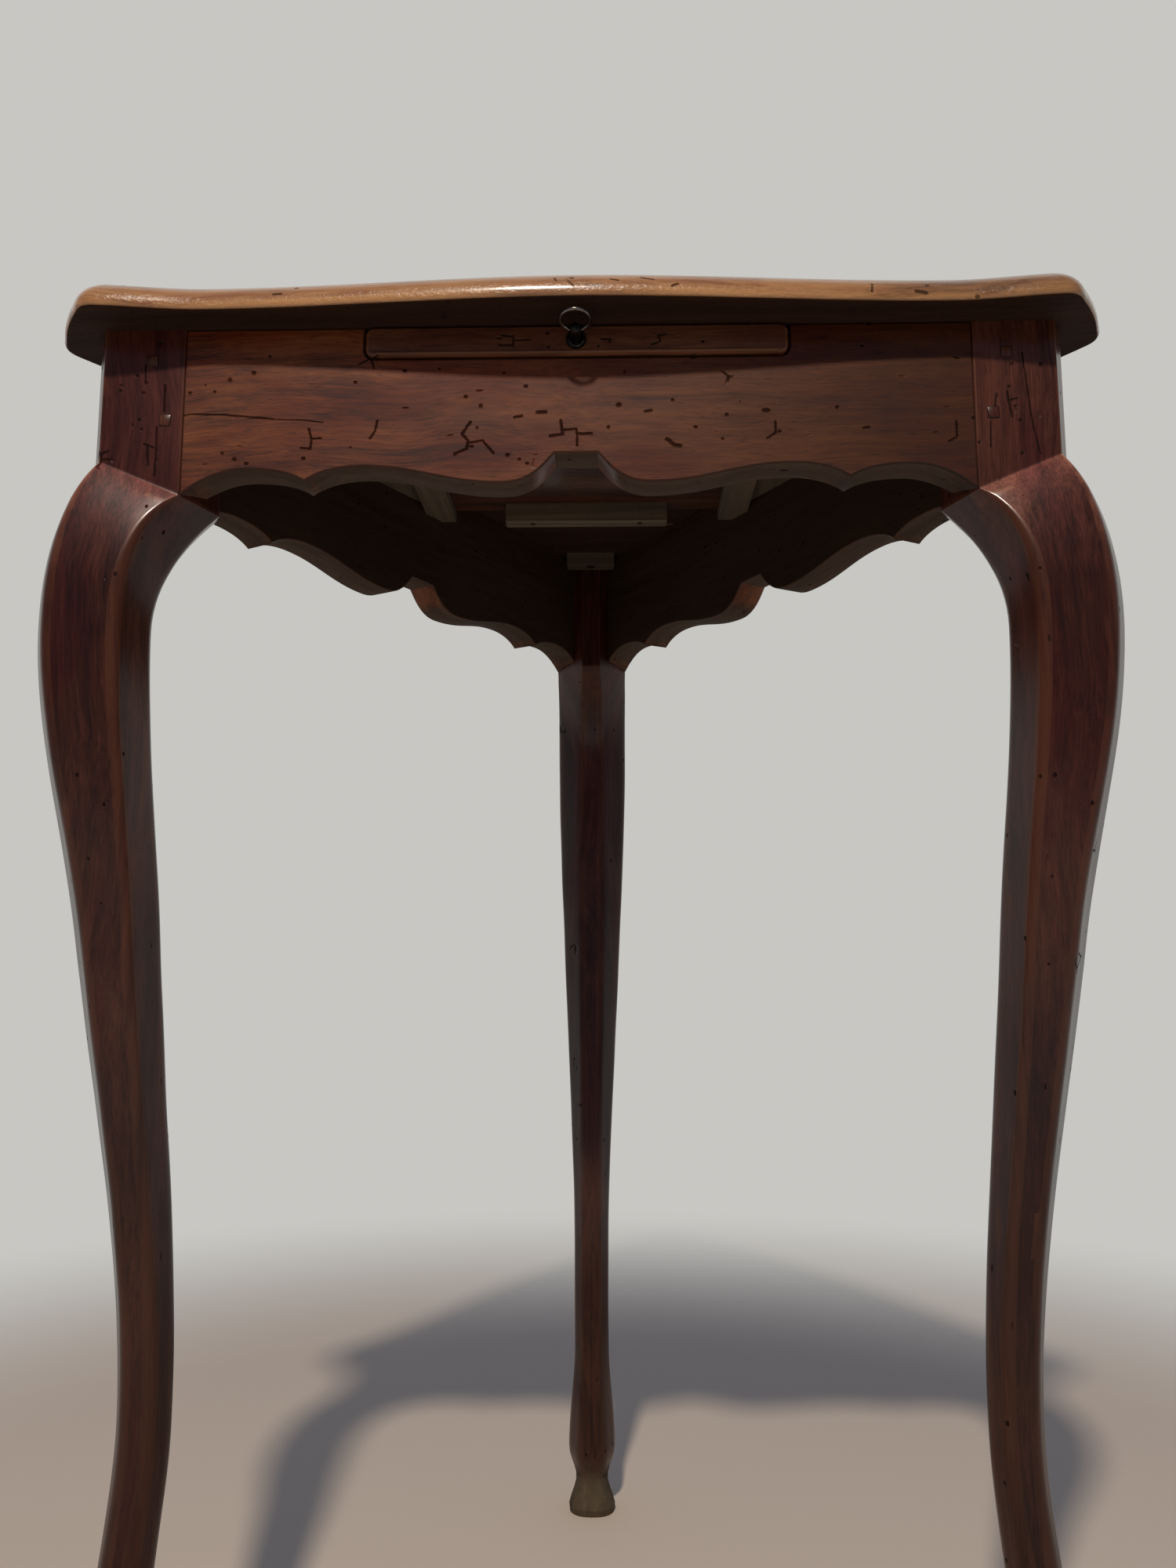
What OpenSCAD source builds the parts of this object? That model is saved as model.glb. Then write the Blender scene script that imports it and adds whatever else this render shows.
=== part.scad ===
// Three-legged writing table in walnut, with scalloped aprons, cabriole legs
// ending in doe's feet, and a writing slide under the front edge of the top.
// Millimetres. +Z is up and -Y is the front. The origin lies on the floor,
// in the middle of the table's overall width and depth.

/* [Frame] */
// Height of the table's top surface above the floor
table_h = 720; // [640:5:800]
// Width of the frame across one side, between the arrises of its two posts
frame_w = 466; // [400:1:620]
// Width of the flat that cuts off each corner of the frame, along one side
corner_cut = 13; // [8:1:24]
// Width of a post's face beside the apron
post_face = 40; // [36:1:46]
// Width of the flat on a post's inner corner
post_inner_flat = 13; // [8:1:16]

/* [Top] */
// Thickness of the top
top_t = 17.5; // [14:0.5:26]
// Overhang of the top at the middle of a side
crest_overhang = 28.5; // [18:0.5:32]
// Overhang of the top in the hollow near each corner
hollow_overhang = 20; // [10:0.5:22]
// Distance from the middle of a side to the deepest point of the hollow
hollow_at = 180; // [150:1:190]
// Overhang of the top at the end of a side
end_overhang = 25.5; // [18:0.5:30]
// Overhang of the rounded corner end beyond the post's corner flat
corner_overhang = 15.5; // [10:0.5:24]
// Half the width of the rounded corner end
corner_half = 24; // [18:1:30]
// Bulge of the rounded corner end
corner_bulge = 2.5; // [1:0.5:5]
// Width of the rounded upper edge, measured on the top surface
edge_round = 19; // [10:1:22]
// Height of the upright part of the edge above its lower arris
edge_flat = 2.5; // [2:0.5:6]
// Radius of the lower arris
arris = 2; // [1:0.5:3]
// Width of the front board of the top
front_board_w = 156; // [120:1:180]
// Width of the middle board of the top
middle_board_w = 154; // [120:1:180]

/* [Aprons] */
// Thickness of an apron
apron_t = 20; // [18:1:24]
// Height of an apron where it meets a post
apron_h = 85.5; // [76:0.5:100]
// Height of an apron at the notch in its middle
notch_h = 65.5; // [56:0.5:70]
// Half the width of the notch's flat
notch_half = 10.5; // [6:0.5:16]
// Height of an apron at the low points beside the notch
low_h = 80.5; // [74:0.5:90]
// Distance from the middle to a low point
low_at = 36; // [26:1:44]
// Height of an apron at the crest of its long wave
wave_h = 71.5; // [62:0.5:76]
// Distance from the post to the crest of the long wave
wave_from_post = 88; // [80:1:100]
// Height of an apron at its pointed cusp
cusp_h = 79; // [72:0.5:88]
// Distance from the post to the cusp
cusp_from_post = 61; // [52:1:70]
// Height of an apron at the peak of its end arch
arch_h = 72.5; // [62:0.5:76]
// Distance from the post to the peak of the end arch
arch_from_post = 32; // [24:1:40]

/* [Legs] */
// Height of the knee's fullest point above the floor
knee_z = 553; // [520:1:575]
// How far the knee stands out beyond the post's corner flat
knee_reach = 21.5; // [14:0.5:26]
// Width of the leg at the knee
knee_w = 55; // [48:0.5:60]
// Depth of the leg at the knee, along the diagonal
knee_d = 50; // [44:0.5:56]
// Width of the corner flat at the knee
knee_flat = 20; // [12:1:24]
// Height of the calf above the floor
calf_z = 400; // [340:5:440]
// How far the calf lies behind the post's corner flat
calf_back = 4; // [0:0.5:12]
// Width of the leg at the calf
calf_w = 44; // [36:1:48]
// Depth of the leg at the calf
calf_d = 36; // [30:0.5:42]
// Height of the ankle above the floor
ankle_z = 185; // [165:5:230]
// How far the ankle lies behind the post's corner flat
ankle_back = 32; // [24:0.5:38]
// Width of the leg at the ankle
ankle_w = 27; // [20:0.5:32]
// Depth of the leg at the ankle
ankle_d = 23.5; // [19:0.5:30]
// How far the lower shin lies behind the post's corner flat
shin_back = 26; // [18:1:34]
// Width of the lower shin
shin_w = 27; // [20:0.5:32]
// Depth of the lower shin
shin_d = 24.5; // [20:0.5:32]
// Height of the lower shin above the floor
shin_z = 118; // [100:1:140]
// Height of the fetlock's swelling above the floor
fetlock_z = 44; // [36:1:60]
// How far the fetlock lies behind the post's corner flat
fetlock_back = 9; // [4:1:18]
// Width of the fetlock
fetlock_w = 37; // [28:0.5:42]
// Depth of the fetlock
fetlock_d = 35; // [28:0.5:42]
// Height of the narrow neck above the hoof
neck_z = 22; // [14:1:30]
// How far the neck lies behind the post's corner flat
neck_back = 10; // [4:1:18]
// Width and depth of the neck
neck_w = 25; // [20:0.5:30]
// Height of the hoof's widest point above the floor
hoof_z = 3; // [3:1:10]
// How far the hoof's toe stands out beyond the post's corner flat
toe_reach = 4; // [-4:1:12]
// Width of the hoof
hoof_w = 38; // [28:1:40]
// Length of the hoof
hoof_d = 44; // [36:1:52]
// Depth of the cleft in the hoof's toe
cleft_depth = 4; // [2:0.5:6]
// Width of the cleft at the toe
cleft_w = 3.6; // [2:0.2:6]

/* [Joints] */
// Thickness of a tenon
tenon_t = 7; // [5:0.5:8]
// Length of a tenon
tenon_l = 20; // [14:1:22]
// Wood left above and below a tenon
tenon_shoulder = 8; // [6:0.5:12]
// Side of a square peg
peg_side = 6; // [4:0.5:7]
// Length of a peg
peg_l = 18; // [15:1:18]
// How far a peg's head stands out of the post
peg_proud = 0.6; // [0.2:0.1:1.2]
// Distance from the joint line to the middle of the upper peg
upper_peg_from_joint = 16; // [12:1:18]
// Distance from the joint line to the middle of the lower peg
lower_peg_from_joint = 8.5; // [8:0.5:14]
// Angle at which the aprons' shoulders are cut back from square
shoulder_angle = 20; // [10:1:24]
// Distance from the underside of the top down to the upper peg
upper_peg_drop = 16; // [13:1:20]
// Distance from the underside of the top down to the lower peg
lower_peg_drop = 47; // [40:1:54]
// Clearance around a tenon or a peg
joint_fit = 0.1; // [0.05:0.05:0.2]

/* [Writing slide] */
// Width of the slide's front lip
lip_w = 207; // [170:1:212]
// Height of the lip
lip_h = 15; // [13:0.5:16]
// Depth of the lip from front to back
lip_d = 12; // [9:0.5:14]
// How far the lip stands out of the apron
lip_proud = 2; // [0.5:0.5:4]
// Gap between the lip and the top
lip_drop = 0.8; // [0.6:0.1:3]
// Radius of the lip's corners
lip_corner = 4; // [2:0.5:5]
// Radius of the bead along the lip's bottom edge
bead_r = 1.2; // [0.8:0.1:1.6]
// Gap around the lip in the apron's slot
slot_gap = 0.6; // [0.4:0.1:1.2]
// Thickness of the slide's board
slide_t = 10; // [8:0.5:10.5]
// Distance from the apron's face to the board's rear edge
slide_reach = 216; // [170:1:218]
// How much narrower the board is than the lip
slide_margin = 16; // [15:1:24]
// Length of the board's tongue in the lip
tongue_l = 5; // [3:0.5:7]
// Thickness of the board's tongue
tongue_t = 4; // [3:0.5:5]
// Width of the stop batten under the board
stop_w = 105; // [60:1:140]
// Thickness and height of the stop batten
stop_side = 12; // [8:0.5:14]
// Distance from the stop batten to the board's rear edge
stop_inset = 1; // [0.5:0.5:12]
// Running gap around the slide
slide_gap = 0.4; // [0.3:0.05:0.8]
// Width of a runner's board
runner_w = 60; // [30:1:70]
// Width of the ledge that carries the board
ledge_w = 9; // [6:0.5:12]
// Thickness of the ledge
ledge_t = 6; // [4:0.5:8]
// Gap between a runner or a corner block and the pieces around it
runner_gap = 0.3; // [0.2:0.05:0.8]

/* [Ring pull] */
// Diameter of the rosette
rosette_d = 10; // [8:0.5:12]
// Thickness of the rosette
rosette_t = 1.2; // [0.8:0.1:2]
// Diameter of the stud
stud_d = 5.6; // [5:0.1:6.4]
// How far the stud stands out of the rosette
stud_l = 11.4; // [10:0.2:14]
// Diameter of the stud's screw
stud_screw_d = 2.4; // [2:0.1:3]
// Length of the stud's screw
stud_screw_l = 22; // [16:1:26]
// Outer diameter of the ring
ring_d = 16; // [14:0.1:18]
// Diameter of the ring's wire
ring_wire = 1.8; // [1.4:0.1:2]
// Distance from the stud's end to the middle of the ring's hole
ring_hole_from_end = 3.6; // [2.8:0.1:4]
// Least gap between the ring and its hole
ring_gap = 0.1; // [0.05:0.01:0.2]
// Angle of the ring above the horizontal, as it stands
ring_angle = 14; // [0:1:22]

/* [Fasteners and blocks] */
// Width of a corner block
block_w = 36; // [24:1:44]
// Depth of a corner block
block_d = 14; // [10:1:20]
// Height of a corner block
block_h = 9; // [8:1:16]
// Diameter of a wood screw's shank
screw_d = 3.5; // [3:0.5:4.5]
// Diameter of a wood screw's head
screw_head_d = 7; // [6:0.5:9]
// How far a wood screw goes into the top
screw_bite = 10; // [7:0.5:11]
// Distance from either end of a runner to its nearer screw
screw_inset = 22; // [16:1:32]
// Diameter of a nail
nail_d = 1.6; // [1.2:0.1:2]
// Diameter of a nail's head
nail_head_d = 3.4; // [2.6:0.2:4]
// How far a nail goes into the slide's board
nail_bite = 6; // [4:0.5:7]

/* [Hidden] */

// Colours of the finishes
top_colour = "#8a4f25";
apron_colour = "#74381f";
leg_colour = "#5f2a1b";
raw_colour = "#8d7a63";
iron_colour = "#2e2a28";

eps = 0.01;
round_fn = 48;
cos_30 = cos(30);

// The three sides would meet in sharp corners on this larger triangle
side = frame_w + 2 * corner_cut;
inradius = side / (2 * sqrt(3));
apex = 2 * inradius;
joint_at = frame_w / 2 - post_face;
top_z = table_h - top_t;
joint_z = top_z - apron_h;

// A post's section in the leg's own frame: x across, y outwards from the sharp corner
post_out = -corner_cut * cos_30;
post_flat_half = corner_cut / 2;
post_half = post_flat_half + post_face / 2;
post_inner_half = post_inner_flat / 2;
post_side_y = post_out - post_face * cos_30;
// The shoulder plane runs in from the joint line, slanting towards the room inside the frame
shoulder_slope = tan(shoulder_angle);
post_in = post_side_y - (post_half - post_inner_half)
    * (0.5 + cos_30 * shoulder_slope) / (cos_30 - 0.5 * shoulder_slope);

// The ring pull, which reaches further forward than the top
lip_z = top_z - lip_drop - lip_h;
pull_z = lip_z + lip_h / 2;
hinge_reach = lip_proud + rosette_t + stud_l - ring_hole_from_end;
ring_r = (ring_d - ring_wire) / 2;
ring_hole_r = ring_wire / 2 + ring_r - sqrt(ring_r * ring_r - stud_d * stud_d / 4) + ring_gap;
ring_reach = hinge_reach + 2 * ring_r * cos(ring_angle) + ring_wire / 2;

// The overall depth, which places the origin
front_y = -inradius - max(crest_overhang, ring_reach);
back_y = apex + post_out + max(knee_reach, toe_reach, corner_overhang + corner_bulge);
origin_y = (front_y + back_y) / 2;

function lerp(a, b, t) = a + (b - a) * t;
function bezier(a, b, c, d, n) = [
    for (i = [1:n]) let (t = i / n, s = 1 - t)
        s * s * s * a + 3 * s * s * t * b + 3 * s * t * t * c + t * t * t * d
];
function arc_corner(a, b, c, n) = [
    for (i = [0:n]) let (t = i / n, s = 1 - t) s * s * a + 2 * s * t * b + t * t * c
];
function turn(p, a) = [p[0] * cos(a) - p[1] * sin(a), p[0] * sin(a) + p[1] * cos(a)];

// The curve through [x, y] knots, level at each peak or hollow, with x rising
function slope(k, i) =
    let (n = len(k) - 1)
    i == 0 || i == n ? 0 :
    let (a = (k[i][1] - k[i - 1][1]) / (k[i][0] - k[i - 1][0]),
         b = (k[i + 1][1] - k[i][1]) / (k[i + 1][0] - k[i][0]))
    a * b <= 0 ? 0 : 2 * a * b / (a + b);
function span(k, x, i = 0) = i >= len(k) - 2 || x <= k[i + 1][0] ? i : span(k, x, i + 1);
function smooth(k, x) =
    let (i = span(k, x), w = k[i + 1][0] - k[i][0], t = (x - k[i][0]) / w,
         t2 = t * t, t3 = t2 * t)
    (2 * t3 - 3 * t2 + 1) * k[i][1] + (t3 - 2 * t2 + t) * w * slope(k, i)
        + (3 * t2 - 2 * t3) * k[i + 1][1] + (t3 - t2) * w * slope(k, i + 1);

// The middle of a ring of points
function middle_point(r) = [for (a = [0:2]) [for (p = r) p[a]] * [for (p = r) 1] / len(r)];

// Closed solid through rings of points, each counter-clockwise from above.
// Both ends are closed by a fan round the middle of their ring.
module skin(rings) {
    n = len(rings[0]);
    m = len(rings);
    last = (m - 1) * n;
    polyhedron(
        points = concat([for (r = rings) each r], [middle_point(rings[0]), middle_point(rings[m - 1])]),
        faces = concat(
            [for (i = [0:n - 1]) [i, (i + 1) % n, m * n]],
            [for (j = [0:m - 2], i = [0:n - 1]) let (k = (i + 1) % n)
                [j * n + i, (j + 1) * n + i, (j + 1) * n + k]],
            [for (j = [0:m - 2], i = [0:n - 1]) let (k = (i + 1) % n)
                [j * n + i, (j + 1) * n + k, j * n + k]],
            [for (i = [0:n - 1]) [last + (i + 1) % n, last + i, m * n + 1]]
        ),
        convexity = 8
    );
}

// One third of the top's outline, drawn inset by d: a side and the corner after it
side_steps = 14;
end_steps = 4;
corner_steps = 4;
corner_soft = 7;
end_y = apex + post_out + corner_overhang;
side_end = let (c = turn([corner_half, end_y], -120)) [c[0], -inradius - end_overhang];
function overhang_at(s) = smooth([
    [0, crest_overhang], [hollow_at, hollow_overhang], [side_end[0], end_overhang]
], abs(s));
function third(d) =
    let (run = side_end[0] - corner_soft - d * tan(30),
         half = corner_half - corner_soft - d * tan(30),
         left = [for (i = [-side_steps:side_steps]) let (s = run * i / side_steps)
             [s, -inradius - overhang_at(s) + d]],
         end = [for (i = [-end_steps:end_steps]) let (x = half * i / end_steps)
             turn([-x, end_y - d + corner_bulge * (1 - pow(x / corner_half, 2))], -120)],
         bend = [side_end[0] - d * tan(30), -inradius - end_overhang + d],
         bend_2 = turn([-bend[0], bend[1]], 120))
    concat(left,
        [for (i = [1:corner_steps - 1]) arc_corner(left[2 * side_steps], bend, end[0], corner_steps)[i]],
        end,
        [for (i = [1:corner_steps - 1])
            arc_corner(end[2 * end_steps], bend_2, turn(left_start(d), 120), corner_steps)[i]]);
function left_start(d) =
    let (run = side_end[0] - corner_soft - d * tan(30)) [-run, -inradius - overhang_at(run) + d];
function top_ring(d, z) = [for (a = [0, 120, 240], p = third(d)) concat(turn(p, a), z)];

module top_blank() {
    round_steps = 6;
    skin(concat(
        [top_ring(arris, top_z), top_ring(arris * (1 - cos(45)), top_z + arris * (1 - sin(45)))],
        [top_ring(0, top_z + arris), top_ring(0, top_z + edge_flat)],
        [for (i = [1:round_steps]) let (a = 90 * i / round_steps)
            top_ring(edge_round * (1 - cos(a)), top_z + edge_flat + (top_t - edge_flat) * sin(a))]
    ));
}

module top_board(from, to) {
    far = 2 * side;
    difference() {
        intersection() {
            top_blank();
            translate([-far / 2, from, top_z - 1]) cube([far, to - from, top_t + 2]);
        }
        screws(joint_fit);
    }
}
front_seam = -inradius - crest_overhang + front_board_w;
back_seam = front_seam + middle_board_w;

// The lower edge of half an apron, from its middle to the post
function half_edge() = concat(
    [[notch_half, -notch_h]],
    bezier([notch_half, -notch_h], [notch_half + 5, -lerp(notch_h, low_h, 0.4)],
        [lerp(notch_half, low_at, 0.45), -low_h], [low_at, -low_h], 6),
    bezier([low_at, -low_h], [lerp(low_at, wave_at, 0.42), -low_h],
        [lerp(low_at, wave_at, 0.6), -wave_h], [wave_at, -wave_h], 8),
    bezier([wave_at, -wave_h], [lerp(wave_at, cusp_at, 0.5), -wave_h],
        [lerp(wave_at, cusp_at, 0.85), -lerp(wave_h, cusp_h, 0.55)], [cusp_at, -cusp_h], 5),
    bezier([cusp_at, -cusp_h], [lerp(cusp_at, arch_at, 0.2), -lerp(arch_h, cusp_h, 0.4)],
        [lerp(cusp_at, arch_at, 0.5), -arch_h], [arch_at, -arch_h], 5),
    bezier([arch_at, -arch_h], [lerp(arch_at, joint_at, 0.45), -arch_h],
        [lerp(arch_at, joint_at, 0.8), -lerp(arch_h, apron_h, 0.6)], [joint_at, -apron_h], 7)
);
wave_at = joint_at - wave_from_post;
cusp_at = joint_at - cusp_from_post;
arch_at = joint_at - arch_from_post;

// A side's own frame: x along the side, y in from its outer face, z from the floor
module on_side(turns) {
    rotate(120 * turns) translate([0, -inradius, 0]) children();
}

module tenon(end, fit) {
    root = apron_t * shoulder_slope;
    x = end > 0 ? joint_at - root : -joint_at - tenon_l - fit;
    translate([x, (apron_t - tenon_t) / 2 - fit, joint_z + tenon_shoulder - fit])
        cube([tenon_l + fit + root, tenon_t + 2 * fit, apron_h - 2 * tenon_shoulder + 2 * fit]);
}

module pegs(end, fit) {
    for (p = [[upper_peg_from_joint, upper_peg_drop], [lower_peg_from_joint, lower_peg_drop]])
        translate([end * (joint_at + p[0]) - peg_side / 2 - fit, -peg_proud,
                top_z - p[1] - peg_side / 2 - fit])
            cube([peg_side + 2 * fit, peg_l + fit, peg_side + 2 * fit]);
}

module apron_blank() {
    edge = half_edge();
    n = len(edge);
    back_at = joint_at - apron_t * shoulder_slope;
    difference() {
        union() {
            intersection() {
                translate([0, apron_t, top_z]) rotate([90, 0, 0]) linear_extrude(apron_t)
                    polygon(concat(
                        [[joint_at, 0], [-joint_at, 0]],
                        [for (i = [n - 1:-1:0]) [-edge[i][0], edge[i][1]]],
                        edge
                    ));
                translate([0, 0, joint_z - 1]) linear_extrude(apron_h + 2)
                    polygon([[-joint_at, 0], [joint_at, 0], [back_at, apron_t], [-back_at, apron_t]]);
            }
            for (end = [-1, 1]) tenon(end, 0);
        }
        for (end = [-1, 1]) pegs(end, joint_fit);
    }
}

// The slot in the front apron's upper edge, with rounded lower corners
module slide_slot() {
    half = lip_w / 2 + slot_gap;
    r = lip_corner + slot_gap;
    floor_z = lip_z - slot_gap;
    translate([-half, -1, floor_z + r]) cube([2 * half, apron_t + 2, top_z - floor_z]);
    translate([-half + r, -1, floor_z]) cube([2 * (half - r), apron_t + 2, 2 * r]);
    for (x = [-half + r, half - r])
        translate([x, -1, floor_z + r]) rotate([-90, 0, 0])
            cylinder(r = r, h = apron_t + 2, $fn = round_fn);
}

module apron(turns) {
    color(apron_colour) on_side(turns) apron_blank();
}

module apron_front() {
    color(apron_colour) on_side(0) difference() {
        apron_blank();
        slide_slot();
    }
}

// One ring of a leg's section: a six-sided outline with softened corners.
// The shoulder's slant lifts the part of the ring that lies outside the joint line.
function leg_ring(z, out, flat_half, half, in, in_half, soft, slant) =
    let (side_y = out - 2 * (half - flat_half) * cos_30,
         c = [[flat_half, out], [-flat_half, out], [-half, side_y],
              [-in_half, in], [in_half, in], [half, side_y]])
    [for (i = [0:5]) let (
            p = c[i], a = c[(i + 5) % 6] - p, b = c[(i + 1) % 6] - p,
            pa = p + a / norm(a) * min(soft, 0.45 * norm(a)),
            pb = p + b / norm(b) * min(soft, 0.45 * norm(b)))
        for (q = arc_corner(pa, p, pb, 3))
            [q[0], q[1], z + slant * max(0, q[1] - post_side_y)]];
knee_out = post_out + knee_reach;
shoulder_slant = 0.5;
knee_steps = 8;

// The leg's profiles, as [height, value] from the floor up to the knee. Above its
// widest point the hoof tapers almost straight to the neck.
function taper(a, b) = [
    for (t = [[0.2, 0.13], [0.8, 0.87]]) [lerp(hoof_z, neck_z, t[0]), lerp(a, b, t[1])]
];
toe = post_out + toe_reach;
out_line = [
    [0, toe - 2], [hoof_z, toe], each taper(toe, post_out - neck_back), [neck_z, post_out - neck_back],
    [fetlock_z, post_out - fetlock_back], [shin_z, post_out - shin_back],
    [ankle_z, post_out - ankle_back], [calf_z, post_out - calf_back], [knee_z, knee_out]
];
in_line = [
    [0, toe - hoof_d + 2], [hoof_z, toe - hoof_d],
    each taper(toe - hoof_d, post_out - neck_back - neck_w),
    [neck_z, post_out - neck_back - neck_w], [fetlock_z, post_out - fetlock_back - fetlock_d],
    [shin_z, post_out - shin_back - shin_d], [ankle_z, post_out - ankle_back - ankle_d],
    [calf_z, post_out - calf_back - calf_d], [knee_z, knee_out - knee_d]
];
half_line = [
    [0, hoof_w / 2 - 1], [hoof_z, hoof_w / 2], each taper(hoof_w / 2, neck_w / 2),
    [neck_z, neck_w / 2], [fetlock_z, fetlock_w / 2],
    [shin_z, shin_w / 2], [ankle_z, ankle_w / 2], [calf_z, calf_w / 2], [knee_z, knee_w / 2]
];
flat_line = [
    [0, hoof_w / 16], [hoof_z, hoof_w / 16], [neck_z, neck_w / 4], [fetlock_z, fetlock_w / 4],
    [shin_z, shin_w / 4], [ankle_z, ankle_w / 4], [calf_z, calf_w / 4], [knee_z, knee_flat / 2]
];
soft_line = [
    [0, 9], [hoof_z, 9], [neck_z, 6], [fetlock_z, 7], [shin_z, 5],
    [ankle_z, 4], [calf_z, 3], [knee_z, 4]
];
// The inner flat's share of the leg's width
share_line = [
    [0, 0.55], [hoof_z, 0.55], [neck_z, 0.6], [fetlock_z, 0.45], [shin_z, 0.4],
    [ankle_z, 0.4], [calf_z, 0.35], [knee_z, 0.3]
];
leg_rows = [
    for (k = [0:len(out_line) - 2]) let (
            a = out_line[k][0], b = out_line[k + 1][0], n = max(3, ceil((b - a) / 22)))
        for (i = [0:n - 1]) lerp(a, b, i / n)
];

function shin_rings() = [
    for (z = leg_rows)
        leg_ring(z, smooth(out_line, z), smooth(flat_line, z), smooth(half_line, z),
            smooth(in_line, z), smooth(half_line, z) * smooth(share_line, z), smooth(soft_line, z), 0)
];
function knee_rings() = [
    for (i = [0:knee_steps - 1]) let (
            rise = sin(90 * i / knee_steps),
            back = rise * rise,
            swell = 1 - pow(rise, 2.2))
        leg_ring(lerp(knee_z, joint_z, rise), lerp(post_out, knee_out, swell),
            lerp(post_flat_half, knee_flat / 2, swell),
            lerp(knee_w / 2, post_half, back), lerp(knee_out - knee_d, post_in, back),
            lerp(knee_w * 0.15, post_inner_half, back), 4 - 3 * back, shoulder_slant * rise)
];
function post_rings() = [
    for (r = [[joint_z, shoulder_slant], [top_z - 20, 0], [top_z, 0]])
        leg_ring(r[0], post_out, post_flat_half, post_half, post_in, post_inner_half, 0.8, r[1])
];

// The back leg; the others are turned copies
module leg_blank() {
    difference() {
        translate([0, apex, 0]) skin(concat(shin_rings(), knee_rings(), post_rings()));
        for (end = [-1, 1]) on_side(end) {
            tenon(end, joint_fit);
            pegs(end, joint_fit);
        }
        translate([0, apex + toe - cleft_depth, -1]) rotate(45)
            cube([cleft_w * sqrt(0.5) + cleft_depth, cleft_w * sqrt(0.5) + cleft_depth, hoof_z + 5]);
    }
}

module leg(turns) {
    color(leg_colour) rotate(120 * turns) leg_blank();
}

module leg_pegs(turns) {
    color(leg_colour) rotate(120 * turns)
        for (end = [-1, 1]) on_side(end) pegs(end, 0);
}

// The writing slide and what carries it
slide_half = lip_w / 2 - slide_margin / 2;
ledge_z = lip_z + (lip_h - slide_t) / 2 - slide_gap;
slide_z = ledge_z + slide_gap;
stop_front = slide_reach - stop_inset - stop_side;

// Where a line at x across the frame meets the inner face of a side apron
function side_face(x) = (side / 2 - apron_t / cos_30 - x) * sqrt(3);

module runner(end) {
    inner = slide_half + slide_gap;
    outer = inner + runner_w;
    front = apron_t + runner_gap;
    back = side_face(inner) - 2 * runner_gap;
    edge = inner - ledge_w;
    color(raw_colour) on_side(0) mirror([end > 0 ? 0 : 1, 0, 0]) difference() {
        union() {
            translate([0, 0, ledge_z]) linear_extrude(top_z - ledge_z)
                polygon([[inner, front], [outer, front],
                    [outer, side_face(outer) - 2 * runner_gap], [inner, back]]);
            translate([0, 0, ledge_z - ledge_t]) linear_extrude(ledge_t)
                polygon([[edge, front], [inner + ledge_w, front],
                    [inner + ledge_w, side_face(inner + ledge_w) - 2 * runner_gap],
                    [inner, back], [edge, back]]);
        }
        translate([0, inradius, 0]) {
            screws(joint_fit);
            // A runner's outer corner stays clear of the block beside it
            for (a = [120, 240]) rotate(a)
                translate([-side / 2, block_y - block_d - runner_gap, ledge_z - ledge_t - 1])
                    cube([side, side, top_z - ledge_z + ledge_t + 2]);
        }
    }
}
screw_x = slide_half + slide_gap + runner_w / 2;
screw_rows = [apron_t + screw_inset, side_face(screw_x) - screw_inset];

// A countersunk wood screw standing on its head, at the origin
module wood_screw(l, fit) {
    head_h = (screw_head_d - screw_d) / 2;
    translate([0, 0, -fit]) cylinder(r1 = screw_head_d / 2 + fit, r2 = screw_d / 2 + fit,
        h = head_h + fit, $fn = round_fn);
    cylinder(r = screw_d / 2 + fit, h = l + fit, $fn = round_fn);
}

// The corner blocks from above: each stands against its post, and its back corners
// are cut to stay clear of the two aprons beside it
block_y = apex + post_in;
block_tip = apex - 2 * (apron_t + runner_gap);
module block_outlines() {
    for (a = [0, 120, 240]) rotate(a) intersection() {
        translate([-block_w / 2, block_y - block_d]) square([block_w, block_d]);
        polygon([[0, block_tip], [-apex / sqrt(3), block_tip - apex], [apex / sqrt(3), block_tip - apex]]);
    }
}

module runner_screw_set(fit) {
    low = ledge_z;
    on_side(0) for (x = [-screw_x, screw_x], y = screw_rows)
        translate([x, y, low + eps]) wood_screw(top_z + screw_bite - low, fit);
}

module block_screw_set(fit) {
    low = top_z - block_h;
    for (a = [0, 120, 240]) rotate(a) translate([0, block_y - block_d / 2, low + eps])
        wood_screw(block_h + screw_bite, fit);
}

module screws(fit) {
    runner_screw_set(fit);
    block_screw_set(fit);
}

module runner_screws() {
    color(iron_colour) runner_screw_set(0);
}

module block_screws() {
    color(iron_colour) block_screw_set(0);
}

module corner_blocks() {
    color(raw_colour) difference() {
        translate([0, 0, top_z - block_h]) linear_extrude(block_h) block_outlines();
        block_screw_set(joint_fit);
    }
}

module slide_board() {
    front = lip_d - lip_proud;
    color(apron_colour) on_side(0) difference() {
        union() {
            translate([-slide_half, front, slide_z])
                cube([2 * slide_half, slide_reach - front, slide_t]);
            translate([-slide_half + 6, front - tongue_l, pull_z - tongue_t / 2])
                cube([2 * slide_half - 12, tongue_l + eps, tongue_t]);
        }
        stud_screw(0.05);
        nails(joint_fit / 2);
    }
}

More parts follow.
